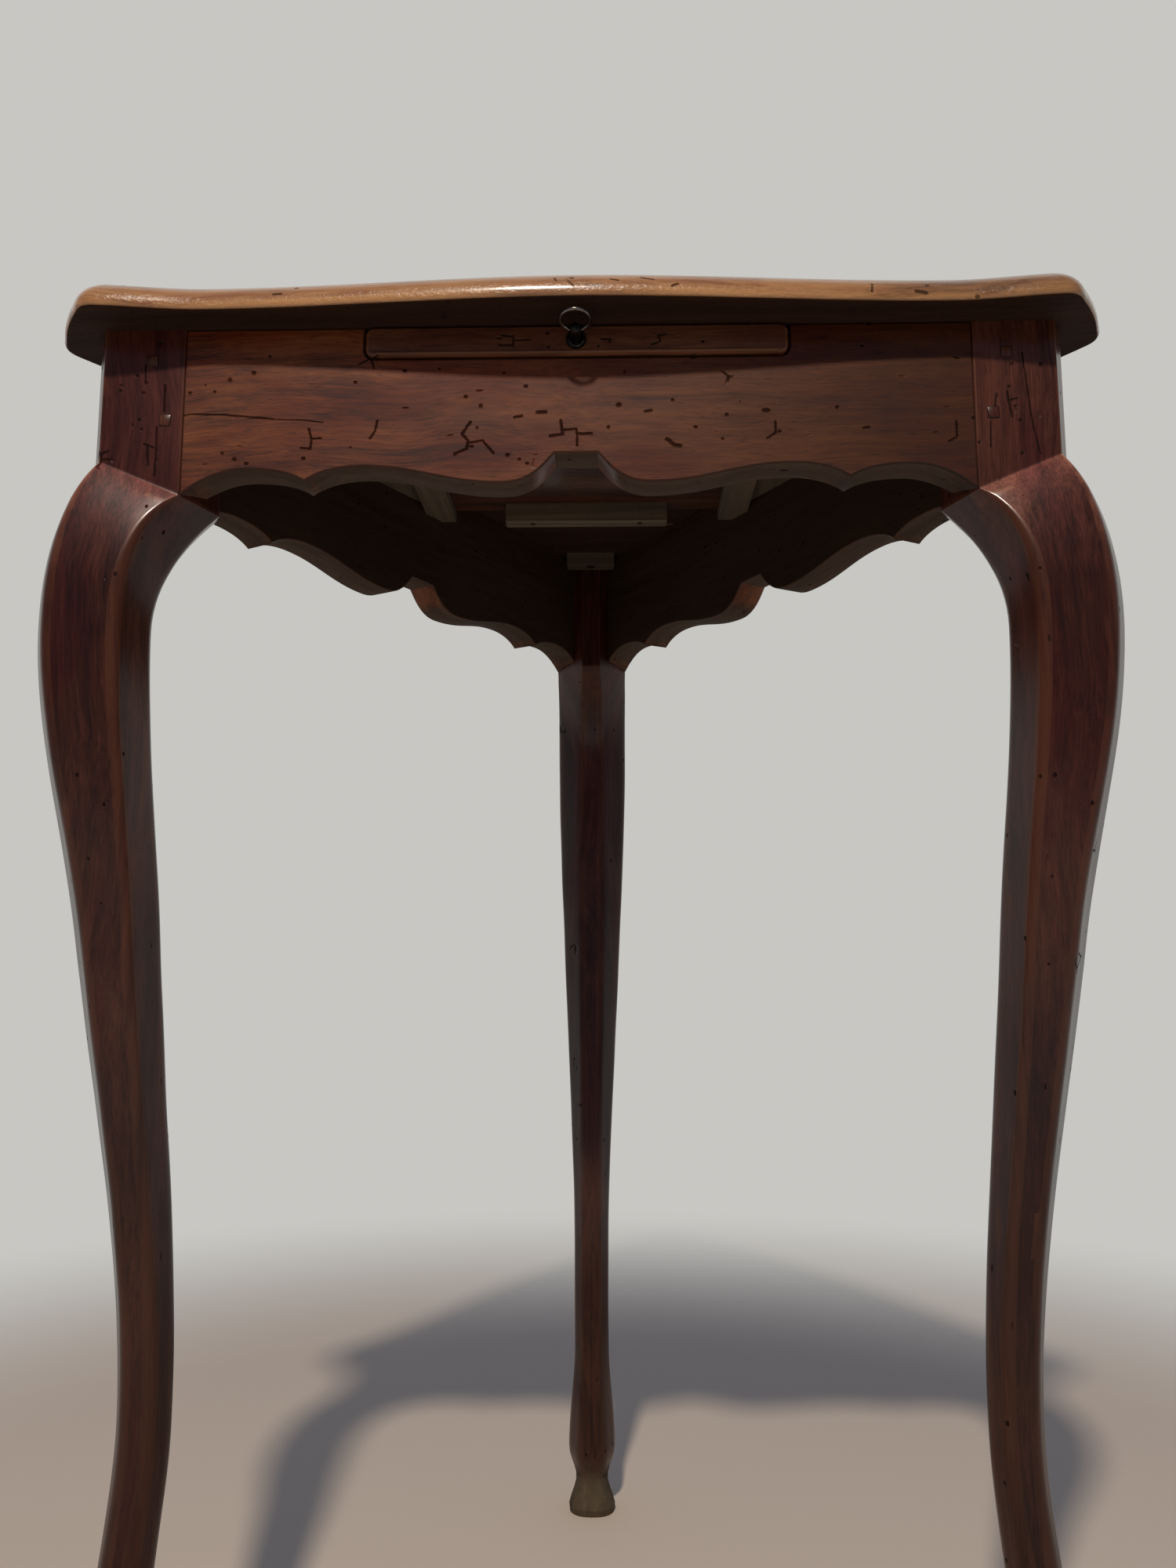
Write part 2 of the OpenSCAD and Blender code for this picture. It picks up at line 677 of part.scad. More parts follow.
module slide_lip() {
    half = lip_w / 2;
    r = lip_corner;
    color(apron_colour) on_side(0) difference() {
        translate([0, lip_d - lip_proud, lip_z]) rotate([90, 0, 0]) linear_extrude(lip_d) {
            translate([-half, r]) square([2 * half, lip_h - 2 * r]);
            translate([-half + r, 0]) square([2 * (half - r), lip_h]);
            for (x = [-half + r, half - r], y = [r, lip_h - r])
                translate([x, y]) circle(r = r, $fn = round_fn);
        }
        // A quirk above the bead sets it off from the face
        translate([-half - 1, -lip_proud - 0.5, lip_z + 2 * bead_r])
            cube([2 * half + 2, 1, 0.6]);
        translate([-slide_half + 6 - joint_fit, lip_d - lip_proud - tongue_l - joint_fit,
                pull_z - tongue_t / 2 - joint_fit])
            cube([2 * slide_half - 12 + 2 * joint_fit, tongue_l + 1, tongue_t + 2 * joint_fit]);
        stud_screw(0.05);
    }
}

module slide_stop() {
    color(raw_colour) on_side(0) difference() {
        translate([-stop_w / 2, stop_front, slide_z - stop_side])
            cube([stop_w, stop_side, stop_side]);
        nails(joint_fit / 2);
    }
}

module nails(fit) {
    for (x = [-stop_w / 3, stop_w / 3])
        translate([x, stop_front + stop_side / 2, slide_z - stop_side - 0.4]) {
            cylinder(r = nail_head_d / 2 + fit, h = 0.8 + fit, $fn = round_fn);
            cylinder(r = nail_d / 2 + fit, h = stop_side + nail_bite + fit, $fn = round_fn);
        }
}

module stop_nails() {
    color(iron_colour) on_side(0) nails(0);
}

module stud_screw(fit) {
    translate([0, -lip_proud - rosette_t, pull_z]) rotate([-90, 0, 0])
        cylinder(r = stud_screw_d / 2 + fit, h = stud_screw_l + fit, $fn = round_fn);
}

module pull_rosette() {
    color(iron_colour) on_side(0) difference() {
        translate([0, -lip_proud, pull_z]) rotate([90, 0, 0]) {
            cylinder(r = rosette_d / 2, h = rosette_t * 0.6, $fn = round_fn);
            cylinder(r1 = rosette_d / 2, r2 = rosette_d * 0.36, h = rosette_t, $fn = round_fn);
        }
        stud_screw(0.05);
    }
}

module pull_stud() {
    color(iron_colour) on_side(0) difference() {
        union() {
            translate([0, -lip_proud - rosette_t, pull_z]) rotate([90, 0, 0]) rotate_extrude($fn = round_fn)
                polygon([[0, 0], [stud_d * 0.42, 0], [stud_d * 0.34, stud_l * 0.25],
                    [stud_d / 2, stud_l * 0.5], [stud_d / 2, stud_l - 1.4], [stud_d * 0.4, stud_l - 0.4],
                    [stud_d * 0.2, stud_l], [0, stud_l]]);
            stud_screw(0);
        }
        translate([-stud_d, -hinge_reach, pull_z]) rotate([0, 90, 0])
            cylinder(r = ring_hole_r, h = 2 * stud_d, $fn = round_fn);
    }
}

module pull_ring() {
    color(iron_colour) on_side(0) translate([0, -hinge_reach, pull_z]) rotate([-ring_angle, 0, 0])
        translate([0, -ring_r, 0]) rotate_extrude($fn = 96)
            translate([ring_r, 0]) circle(r = ring_wire / 2, $fn = 24);
}

module place() {
    translate([0, -origin_y, 0]) children();
}

place() color(top_colour) top_board(-2 * side, front_seam);  // top_board_front
place() color(top_colour) top_board(front_seam, back_seam);  // top_board_middle
place() color(top_colour) top_board(back_seam, 2 * side);  // top_board_back
place() apron_front();
place() apron(-1);  // apron_left
place() apron(1);  // apron_right
place() leg(1);  // leg_front_left
place() leg(-1);  // leg_front_right
place() leg(0);  // leg_back
place() leg_pegs(1);  // pegs_front_left
place() leg_pegs(-1);  // pegs_front_right
place() leg_pegs(0);  // pegs_back
place() runner(-1);  // runner_left
place() runner(1);  // runner_right
place() runner_screws();
place() corner_blocks();
place() block_screws();
place() slide_board();
place() slide_lip();
place() slide_stop();
place() stop_nails();
place() pull_rosette();
place() pull_stud();
place() pull_ring();
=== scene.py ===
# A small writing table on three cabriole legs, in old, polished and much worn walnut.
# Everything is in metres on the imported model's frame: +Z up, -Y to the front.
import math

import bmesh
import bpy
from mathutils import Matrix, Vector, noise


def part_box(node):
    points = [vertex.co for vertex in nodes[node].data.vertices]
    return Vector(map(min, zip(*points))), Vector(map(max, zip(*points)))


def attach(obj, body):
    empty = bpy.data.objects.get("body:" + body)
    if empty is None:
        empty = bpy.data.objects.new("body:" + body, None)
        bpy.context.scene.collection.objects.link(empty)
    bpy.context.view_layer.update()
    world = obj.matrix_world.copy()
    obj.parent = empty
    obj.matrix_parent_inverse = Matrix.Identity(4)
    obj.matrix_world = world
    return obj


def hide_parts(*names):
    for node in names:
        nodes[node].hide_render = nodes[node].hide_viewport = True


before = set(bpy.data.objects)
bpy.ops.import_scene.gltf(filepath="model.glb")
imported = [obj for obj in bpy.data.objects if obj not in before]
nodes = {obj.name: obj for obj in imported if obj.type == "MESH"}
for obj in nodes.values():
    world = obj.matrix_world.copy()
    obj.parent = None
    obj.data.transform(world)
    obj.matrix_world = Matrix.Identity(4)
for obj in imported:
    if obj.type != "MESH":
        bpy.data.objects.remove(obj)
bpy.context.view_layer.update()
scene = bpy.context.scene
MM = 0.001

# ---- Camera ----
# The eye is low and close, 57 cm in front of the apron and 39 cm up, and looks
# 8 degrees upwards, so that the underside of the top and the slide's runners show.
apron_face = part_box("apron_front")[0].y
camera = bpy.data.objects.new("camera", bpy.data.cameras.new("camera"))
# The focal length is in pixels of the frame's long side, which is 2000 high
SENSOR, FOCAL_PX, FRAME_PX = 36, 1576.94, 2000
camera.data.sensor_width = SENSOR
camera.data.lens = FOCAL_PX * SENSOR / FRAME_PX
camera.location = (18.58 * MM, apron_face - 569.64 * MM, 393.95 * MM)
camera.rotation_euler = (math.radians(90 + 8.09), 0, math.radians(1.29))
scene.collection.objects.link(camera)
scene.camera = camera
scene.view_settings.view_transform = "Standard"


# ---- Floor and light ----
# A pale matt floor that fades into a plain pale wall, one lamp high in front, which
# throws the top's shadow on the apron, and a weak even light from all round.
def linear(code):
    """A colour written as sRGB hex, such as 8a5a33, as linear red, green, blue and alpha."""
    parts = [int(code[i:i + 2], 16) / 255 for i in (0, 2, 4)]
    return [c / 12.92 if c <= 0.04045 else ((c + 0.055) / 1.055) ** 2.4 for c in parts] + [1]


def put(tree, kind, inputs=None, stops=None, **settings):
    """Adds one node: its settings, its colour stops, and its inputs as values or as sockets to link."""
    node = tree.nodes.new("ShaderNode" + kind)
    for name, value in settings.items():
        setattr(node, name, value)
    for socket, value in (inputs or {}).items():
        if isinstance(value, bpy.types.NodeSocket):
            tree.links.new(value, node.inputs[socket])
        else:
            node.inputs[socket].default_value = value
    for i, (place, colour) in enumerate(stops or []):
        ramp = node.color_ramp.elements
        stop = ramp[i] if i < len(ramp) else ramp.new(place)
        stop.position = place
        stop.color = linear(colour)
    return node


def new_material(name):
    """An empty material and its node tree."""
    material = bpy.data.materials.new(name)
    material.use_nodes = True
    material.node_tree.nodes.clear()
    return material, material.node_tree


def add_object(bm, name):
    """Turns a finished bmesh into an object whose place is in its mesh."""
    mesh = bpy.data.meshes.new(name)
    bm.to_mesh(mesh)
    bm.free()
    piece = bpy.data.objects.new(name, mesh)
    scene.collection.objects.link(piece)
    return piece


WALL = "c8c7c3"
FADE_FROM, FADE_TO = 0.55, 1.3
bm = bmesh.new()
bmesh.ops.create_circle(bm, cap_ends=True, segments=64, radius=8)
floor = add_object(bm, "pale_floor")
plaster, tree = new_material("pale_matt_floor")
place = put(tree, "TexCoord").outputs["Object"]
grain = put(tree, "TexNoise", {"Vector": place, "Scale": 900, "Detail": 3})
bump = put(tree, "Bump", {"Strength": 0.05, "Distance": 0.0004, "Height": grain.outputs["Fac"]})
matt = put(tree, "BsdfPrincipled", {"Base Color": linear("e3d1be"), "Roughness": 0.8,
                                    "Normal": bump.outputs["Normal"]})
# From 55 cm to 1.3 m away the floor turns, also in the polish, into the plain pale wall
wall = put(tree, "Emission", {"Color": linear(WALL), "Strength": 1})
ray = put(tree, "LightPath")
seen = put(tree, "Math", {0: ray.outputs["Is Camera Ray"], 1: ray.outputs["Is Glossy Ray"]},
           operation="MAXIMUM")
seen = put(tree, "Math", {0: seen.outputs[0], 1: ray.outputs["Is Transmission Ray"]}, operation="MAXIMUM")
away = put(tree, "VectorMath", {0: place}, operation="LENGTH").outputs["Value"]
share = put(tree, "MapRange", {"Value": away, "From Min": FADE_FROM, "From Max": FADE_TO},
            interpolation_type="SMOOTHSTEP")
share = put(tree, "Math", {0: share.outputs["Result"], 1: seen.outputs[0]}, operation="MULTIPLY")
mix = put(tree, "MixShader", {"Fac": share.outputs[0], 1: matt.outputs["BSDF"], 2: wall.outputs[0]})
put(tree, "OutputMaterial", {"Surface": mix.outputs[0]})
floor.data.materials.append(plaster)

lamp = bpy.data.objects.new("lamp_in_front", bpy.data.lights.new("lamp_in_front", "AREA"))
lamp.data.shape = "DISK"
lamp.data.size = 0.14
lamp.data.energy = 46
lamp.data.color = linear("fff4e6")[:3]
LAMP_ANGLE, LAMP_AWAY = math.radians(45), 2.4
lamp.location = (-0.24, apron_face - LAMP_AWAY * math.cos(LAMP_ANGLE),
                 0.7 + LAMP_AWAY * math.sin(LAMP_ANGLE))
aim = Vector((0, apron_face, 0.65)) - lamp.location
lamp.rotation_euler = aim.to_track_quat("-Z", "Y").to_euler()
scene.collection.objects.link(lamp)

world = bpy.data.worlds.new("studio")
scene.world = world
world.use_nodes = True
tree = world.node_tree
tree.nodes.clear()
ray = put(tree, "LightPath")
seen = put(tree, "Math", {0: ray.outputs["Is Camera Ray"], 1: ray.outputs["Is Transmission Ray"]},
           operation="MAXIMUM")
even = put(tree, "Background", {"Color": linear("c9d6f4"), "Strength": 0.24})
# The polish shows the wall too where it faces it, past the back of the table
way = put(tree, "SeparateXYZ", {"Vector": put(tree, "TexCoord").outputs["Generated"]}).outputs["Y"]
back = put(tree, "MapRange", {"Value": way, "From Min": 0.0, "From Max": 0.25}).outputs["Result"]
back = put(tree, "Math", {0: back, 1: ray.outputs["Is Glossy Ray"]}, operation="MULTIPLY")
seen = put(tree, "Math", {0: seen.outputs[0], 1: back.outputs[0]}, operation="MAXIMUM")
pale = put(tree, "Background", {"Color": linear(WALL), "Strength": 1})
mix = put(tree, "MixShader", {"Fac": seen.outputs[0], 1: even.outputs[0], 2: pale.outputs[0]})
put(tree, "OutputWorld", {"Surface": mix.outputs[0]})


# ---- Top ----
# Three walnut boards, glued edge to edge, cut to a triangle with serpentine sides and
# canted, rounded corners. The upper edge is rounded over by plane and scraper, and hands
# have worn its polish to a golden brown.
SIDE = 492
INRADIUS = SIDE / (2 * math.sqrt(3))
APEX = 2 * INRADIUS
COS_30 = math.cos(math.radians(30))
POST_OUT = -13 * COS_30
TABLE_H = 720
TOP_T = 17.5
TOP_Z = TABLE_H - TOP_T
CREST, HOLLOW, END = 28.5, 20, 25.5
MIDDLE = Vector((0, apron_face / MM + INRADIUS, 0))


def turned(turns):
    """From millimetres in a side's or a leg's own frame to metres in the table's."""
    turn = Matrix.Rotation(math.radians(120 * turns), 4, "Z")
    return Matrix.Scale(MM, 4) @ Matrix.Translation(MIDDLE) @ turn


def on_side(turns):
    """x along a side, y in from its outer face, z from the floor."""
    return turned(turns) @ Matrix.Translation((0, -INRADIUS, 0))


def spun(p, degrees):
    """An (x, y) point turned about the table's middle."""
    a = math.radians(degrees)
    return (p[0] * math.cos(a) - p[1] * math.sin(a), p[0] * math.sin(a) + p[1] * math.cos(a))


def smooth(knots, x):
    """The curve through (x, y) knots, level at each peak or hollow."""
    def slope(i):
        if i in (0, len(knots) - 1):
            return 0
        a = (knots[i][1] - knots[i - 1][1]) / (knots[i][0] - knots[i - 1][0])
        b = (knots[i + 1][1] - knots[i][1]) / (knots[i + 1][0] - knots[i][0])
        return 0 if a * b <= 0 else 2 * a * b / (a + b)
    i = max(k for k in range(len(knots) - 1) if k == 0 or knots[k][0] <= x)
    w = knots[i + 1][0] - knots[i][0]
    t = (x - knots[i][0]) / w
    return ((2 * t ** 3 - 3 * t * t + 1) * knots[i][1] + (t ** 3 - 2 * t * t + t) * w * slope(i)
            + (3 * t * t - 2 * t ** 3) * knots[i + 1][1] + (t ** 3 - t * t) * w * slope(i + 1))


def arc_corner(a, b, c, n):
    """n + 1 points of a rounded corner from a to c, drawn towards b."""
    return [tuple((1 - t) ** 2 * p + 2 * t * (1 - t) * q + t * t * r for p, q, r in zip(a, b, c))
            for t in [i / n for i in range(n + 1)]]


def skin(rings):
    """A closed tube through rings with the same number of points, made from a grid."""
    bm = bmesh.new()
    across, along = len(rings[0]), len(rings) - 1
    bmesh.ops.create_grid(bm, x_segments=across, y_segments=along, size=1)
    for v in bm.verts:
        ring = rings[round((v.co.y + 1) / 2 * along)]
        v.co = ring[round((v.co.x + 1) / 2 * across) % across]
    bmesh.ops.remove_doubles(bm, verts=bm.verts, dist=1e-5)
    bmesh.ops.holes_fill(bm, edges=[e for e in bm.edges if e.is_boundary], sides=0)
    bmesh.ops.recalc_face_normals(bm, faces=bm.faces)
    return bm


def soften(bm, edges, width, segments=3):
    """Rounds the edges over by a width."""
    bmesh.ops.bevel(bm, geom=edges, offset=width, offset_type="OFFSET", segments=segments,
                    profile=0.5, affect="EDGES", clamp_overlap=True, material=-1)


def slice_at(bm, point, normal, **sides):
    """Cuts a piece at a plane, clears a side if asked, and gives the cut's edges."""
    whole = bm.verts[:] + bm.edges[:] + bm.faces[:]
    cut = bmesh.ops.bisect_plane(bm, geom=whole, plane_co=point, plane_no=normal, **sides)
    return [e for e in cut["geom_cut"] if isinstance(e, bmesh.types.BMEdge)]


def dress(bm, name, body, material, replaced, sharp=35):
    """Finishes a piece: marks the narrow faces along its edges as worn, shades it and places it."""
    bm.normal_update()
    layer = bm.faces.layers.float.new("worn")
    for face in bm.faces:
        longest = max(e.calc_length() for e in face.edges)
        angles = [e.calc_face_angle_signed(0) for e in face.edges]
        narrow = face.calc_area() / longest < 2.2 * MM
        face[layer] = min(max(angles) / 0.25, 1) if narrow and max(angles) > 0.1 else 0
    piece = add_object(bm, name)
    piece.data.set_sharp_from_angle(angle=math.radians(sharp))
    # A broad flat face with a long outline keeps one normal all over
    for face in piece.data.polygons:
        face.use_smooth = len(face.vertices) < 9
    for m in material:
        piece.data.materials.append(m)
    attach(piece, body)
    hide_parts(*replaced)
    return piece


def walnut(name, dark, mid, light, turn, gloss, edge=None, age=1.0, marks=(), bare_and_shaded=(), shade=None, leg=False,
           dents=0.05, wax=0.15):
    """Old polished walnut. turn brings the grain to the pattern's X axis, gloss is the roughness
    of the wax, edge the colour along the arrises and age the strength of holes and dents. marks
    are scars that run through points. The sides left without polish come as a direction and a
    colour each; some of these colours are partly painted shade. shade is painted shade, darker to
    the right, as two distances and a share. leg paints shade on the shin and light on the knee's
    upper side, partly also rubbed polish, and greys the hoof. dents is how rough the polish is and
    wax how thick."""
    material, tree = new_material(name)
    place = put(tree, "TexCoord").outputs["Object"]
    p = put(tree, "Mapping", {"Vector": place, "Rotation": turn}).outputs["Vector"]
    drift = put(tree, "TexNoise", {"Vector": p, "Scale": 9, "Detail": 2})
    shift = put(tree, "VectorMath", {0: drift.outputs["Color"], 1: (0.5, 0.5, 0.5)}, operation="SUBTRACT")
    q = put(tree, "VectorMath", {0: shift.outputs[0], 1: (0.0, 0.02, 0.02), 2: p},
            operation="MULTIPLY_ADD").outputs[0]

    def stretched(source, along, across):
        return put(tree, "VectorMath", {0: source, 1: (1000 / along, 1000 / across, 1000 / across)},
                   operation="MULTIPLY").outputs[0]

    def noise_of(source, along, across, detail):
        return put(tree, "TexNoise", {"Vector": stretched(source, along, across), "Scale": 1,
                                      "Detail": detail, "Roughness": 0.6}).outputs["Fac"]

    def cells(source, along, across, **settings):
        return put(tree, "TexVoronoi", {"Vector": stretched(source, along, across), "Scale": 1}, **settings)

    def level(value, low, high, top=1.0, bottom=0.0):
        return put(tree, "MapRange", {"Value": value, "From Min": low, "From Max": high,
                                      "To Min": bottom, "To Max": top}).outputs["Result"]

    def calc(operation, a, b, clamp=False):
        return put(tree, "Math", {0: a, 1: b}, operation=operation, use_clamp=clamp).outputs[0]

    def blend(share, a, b):
        return put(tree, "Mix", {0: share, 6: a, 7: b}, data_type="RGBA").outputs[2]

    def some_of(texture, share):
        """1 in the cells that are kept, by the cells' own chance colour."""
        chance = put(tree, "SeparateColor", {"Color": texture.outputs["Color"]}).outputs[0]
        return calc("MULTIPLY", calc("GREATER_THAN", chance, 1 - share), age)

    # Rings 24 mm apart, streaks 5 mm wide and fibres 1 mm wide make the tone; a slow
    # mottle turns it from orange brown to red brown
    figure = put(tree, "TexWave", {"Vector": stretched(q, 6000, 1000), "Scale": 13, "Distortion": 9,
                                   "Detail": 3, "Detail Scale": 0.7}, bands_direction="Y").outputs["Fac"]
    streak = noise_of(q, 110, 5, 5)
    fibre = noise_of(q, 22, 1.0, 3)
    mottle = noise_of(p, 90, 38, 3)
    tone = calc("ADD", calc("MULTIPLY", figure, 0.12), calc("MULTIPLY", streak, 0.48))
    tone = calc("ADD", tone, calc("MULTIPLY", fibre, 0.4))
    wood = put(tree, "ValToRGB", {"Fac": level(tone, 0.3, 0.7)},
               stops=[(0.0, dark), (0.45, mid), (1.0, light)]).outputs["Color"]
    redder = put(tree, "HueSaturation", {"Hue": 0.487, "Saturation": 1.06, "Value": 0.7,
                                         "Color": wood}).outputs[0]
    wood = blend(level(mottle, 0.4, 0.62), wood, redder)
    # Open pores, 7 mm long and drawn 0.7 mm wide so that they show
    pore = level(noise_of(q, 7, 0.7, 1), 0.6, 0.72)
    wood = blend(calc("MULTIPLY", pore, 0.45), wood, linear("1a0d09"))
    # Wormholes 2 mm across, pits of 4 by 2 mm, and short dents along the grain that lie in drifts
    hole = cells(p, 12, 9)
    holes = calc("MULTIPLY", level(hole.outputs["Distance"], 0.08, 0.11, 0.0, 1.0), some_of(hole, 0.4))
    pit = cells(q, 34, 17)
    pits = calc("MULTIPLY", level(pit.outputs["Distance"], 0.05, 0.075, 0.0, 1.0), some_of(pit, 0.35))
    holes = calc("MAXIMUM", holes, pits)
    bruise = cells(q, 20, 6)
    bruises = calc("MULTIPLY", level(bruise.outputs["Distance"], 0.06, 0.11, 0.0, 0.8),
                   some_of(bruise, 0.4))
    bruises = calc("MULTIPLY", bruises, level(mottle, 0.4, 0.55))
    # Worm galleries laid open: short forked lines, 1 mm wide, in patches 10 mm across
    patch = cells(p, 46, 46)
    net = cells(p, 9, 8, feature="DISTANCE_TO_EDGE").outputs["Distance"]
    galleries = calc("MULTIPLY", level(net, 0.03, 0.07, 0.0, 1.0),
                     level(patch.outputs["Distance"], 0.09, 0.13, 0.0, 1.0))
    galleries = calc("MULTIPLY", galleries, some_of(patch, 0.6))
    scars = calc("MAXIMUM", calc("MAXIMUM", holes, galleries), bruises)
    # Scars that run where the photographed ones do: the distance to a line of points, in mm
    for width, path in marks:
        near = None
        if len(path) == 1:
            near = put(tree, "VectorMath", {0: place, 1: Vector(path[0]) * MM},
                       operation="DISTANCE").outputs["Value"]
        for a, b in zip(path, path[1:]):
            a, b = Vector(a) * MM, Vector(b) * MM
            run = b - a
            offset = put(tree, "VectorMath", {0: place, 1: a}, operation="SUBTRACT").outputs[0]
            share = put(tree, "VectorMath", {0: offset, 1: run / run.length_squared},
                        operation="DOT_PRODUCT")
            share = calc("ADD", share.outputs["Value"], 0.0, clamp=True)
            foot = put(tree, "VectorMath", {0: run, "Scale": share}, operation="SCALE").outputs[0]
            gap = put(tree, "VectorMath", {0: offset, 1: foot}, operation="DISTANCE").outputs["Value"]
            near = gap if near is None else calc("MINIMUM", near, gap)
        near = calc("ADD", near, calc("MULTIPLY", calc("SUBTRACT", fibre, 0.5), 0.001))
        scars = calc("MAXIMUM", scars, level(near, width * 0.2 * MM, width * 0.62 * MM, 0.0, 1.0))
    # Polish rubbed through, or dirt, along the arrises
    worn = put(tree, "Attribute", attribute_name="worn").outputs["Fac"]
    wood = blend(calc("MULTIPLY", worn, level(streak, 0.35, 0.55, 0.75, 0.25)), wood, linear(edge or light))
    # Painted shade: the colour darkens towards the right, standing in for light that falls off there
    if shade:
        rightwards = put(tree, "SeparateXYZ", {"Vector": place}).outputs["X"]
        darker = put(tree, "HueSaturation", {"Saturation": 1.1, "Value": 0.22, "Color": wood}).outputs[0]
        wood = blend(level(rightwards, shade[0] * MM, shade[1] * MM, shade[2]), wood, darker)
    dull = 0.0
    normal = put(tree, "NewGeometry").outputs["Normal"]
    # Sides without polish; the dark colours given for the top's underside and the rails' inner faces are
    # also partly painted shade
    for way, bare_and_shaded_colour in bare_and_shaded:
        facing = put(tree, "VectorMath", {0: normal, 1: way}, operation="DOT_PRODUCT").outputs["Value"]
        facing = level(facing, 0.75, 0.9)
        grey = put(tree, "HueSaturation", {"Value": level(tone, 0.35, 0.65, 1.25, 0.7),
                                           "Color": linear(bare_and_shaded_colour)}).outputs[0]
        wood = blend(facing, wood, grey)
        dull = calc("MAXIMUM", facing, dull)
    if leg:
        # Painted shade darkens the shin towards the floor. Painted light brightens the knee's upper side,
        # where it faces the lamp, and a little the post; on the knee it is partly also polish rubbed by
        # hands
        up = put(tree, "SeparateXYZ", {"Vector": place}).outputs["Z"]
        darker = put(tree, "HueSaturation", {"Value": 0.72, "Color": wood}).outputs[0]
        wood = blend(level(up, 500 * MM, 250 * MM), wood, darker)
        # Painted light: where the surface faces up and forward, towards the lamp
        lamp_facing = put(tree, "VectorMath", {0: normal, 1: (0, -0.4, 0.92)},
                      operation="DOT_PRODUCT").outputs["Value"]
        post = level(up, 600 * MM, 640 * MM, 0.05)
        painted_knee_light = put(tree, "HueSaturation", {"Saturation": 0.9, "Value": 5.0, "Color": wood}).outputs[0]
        wood = blend(calc("MAXIMUM", level(lamp_facing, 0.45, 0.8, 0.9), post), wood, painted_knee_light)
        # The hoof has lost its polish, up to an uneven line on the neck
        ragged = calc("ADD", up, calc("MULTIPLY", calc("SUBTRACT", streak, 0.5), 0.03))
        bare = level(ragged, 22 * MM, 38 * MM, 0.0, 1.0)
        grey = put(tree, "HueSaturation", {"Value": level(tone, 0.35, 0.65, 1.3, 0.6),
                                           "Color": linear("564a3a")}).outputs[0]
        wood = blend(bare, wood, grey)
        dull = calc("MAXIMUM", bare, dull)
    wood = blend(calc("MULTIPLY", scars, 0.82), wood, linear("100806"))
    # Handling has dented the polish all over, in dimples 2 mm across
    dimple = noise_of(p, 3, 1.8, 2)
    height = calc("ADD", calc("MULTIPLY", streak, 0.06), calc("MULTIPLY", dimple, dents))
    height = calc("SUBTRACT", height, scars)
    bump = put(tree, "Bump", {"Strength": 0.8, "Distance": 0.0008, "Height": height})
    rough = calc("ADD", level(mottle, 0.3, 0.7, gloss + 0.08, gloss), calc("MULTIPLY", scars, 0.3))
    rough = calc("ADD", rough, calc("MULTIPLY", dull, 0.45), clamp=True)
    unwaxed = calc("MAXIMUM", dull, scars)
    coat = level(unwaxed, 0.0, 0.6, 0.0, wax)
    gleam = level(unwaxed, 0.0, 1.0, 0.1, 0.28)
    shader = put(tree, "BsdfPrincipled", {"Base Color": wood, "Roughness": rough, "IOR": 1.4,
                                          "Specular IOR Level": gleam,
                                          "Coat Weight": coat, "Coat Roughness": 0.15,
                                          "Normal": bump.outputs["Normal"]})
    put(tree, "OutputMaterial", {"Surface": shader.outputs["BSDF"]})
    return material


CORNER_SOFT = 7
END_HALF, END_BOW = 24, 2.5
END_Y = APEX + POST_OUT + 15.5
corner = spun((END_HALF, END_Y), -120)


def outline(inset):
    """The top's outline, drawn inset: each third is one side and the corner after it."""
    slip = inset * math.tan(math.radians(30))
    run, half = corner[0] - CORNER_SOFT - slip, END_HALF - CORNER_SOFT - slip
    side = [(s, -INRADIUS - smooth([(0, CREST), (180, HOLLOW), (corner[0], END)], abs(s)) + inset)
            for s in [run * i / 30 for i in range(-30, 31)]]
    end = [spun((-x, END_Y - inset + END_BOW * (1 - (x / END_HALF) ** 2)), -120)
           for x in [half * i / 5 for i in range(-5, 6)]]
    bend = (corner[0] - slip, -INRADIUS - END + inset)
    third = (side + arc_corner(side[-1], bend, end[0], 7)[1:-1] + end
             + arc_corner(end[-1], spun((-bend[0], bend[1]), 120), spun(side[0], 120), 7)[1:-1])
    return [spun(p, a) for a in (0, 120, 240) for p in third]


# The edge: a small round below, then a wide, flat one up to the surface
UNDER_ROUND, EDGE_ROUND, EDGE_LOW = 2, 19, 2.5
top_rings = [(UNDER_ROUND * (1 - math.sin(a)), UNDER_ROUND * (1 - math.cos(a)))
             for a in [math.pi / 2 * i / 4 for i in range(5)]]
top_rings += [(EDGE_ROUND * (1 - math.cos(a)), EDGE_LOW + (TOP_T - EDGE_LOW) * math.sin(a))
              for a in [math.pi / 2 * i / 14 for i in range(1, 15)]]
DOWN = (0, 0, -1)
edge_scars = [
    # Nicks and dents in the front edge
    (1.3, [(17.2, -230.2, 711.5), (20.5, -230.6, 710.4)]),
    (1.1, [(31.2, -228.8, 712.9), (37.1, -229.6, 711.2)]),
    (1.4, [(48.5, -230.3, 708.7), (45.9, -230.6, 707.3)]),
    (1.0, [(141.1, -223, 711.4), (140.6, -224.7, 706.8)]),
    (2.4, [(161.8, -223.8, 707.1), (166.2, -223.9, 706.2)]),
    (1.1, [(-9.5, -229.8, 712.4), (-8.7, -230.7, 710.7)]),
    (1.7, [(-144.3, -223.9, 709.5), (-141, -224.2, 709.8)]),
]
# Golden brown, glossy and finely dimpled where hands have worn it; painted shade darkens it to the
# right, and the unpolished underside's dark colour is partly painted shade
top_walnut = walnut("walnut_top_waxed_golden", "462a18", "8c5a34", "bd8c58", (0, 0, 0), 0.24, age=0.8,
                    marks=edge_scars, bare_and_shaded=[(DOWN, "33241e")], shade=(90, 250, 0.5), dents=0.6, wax=1.0)
FRONT_BOARD, MIDDLE_BOARD = 156, 154
FRONT_SEAM = -INRADIUS - CREST + FRONT_BOARD
BACK_SEAM = FRONT_SEAM + MIDDLE_BOARD
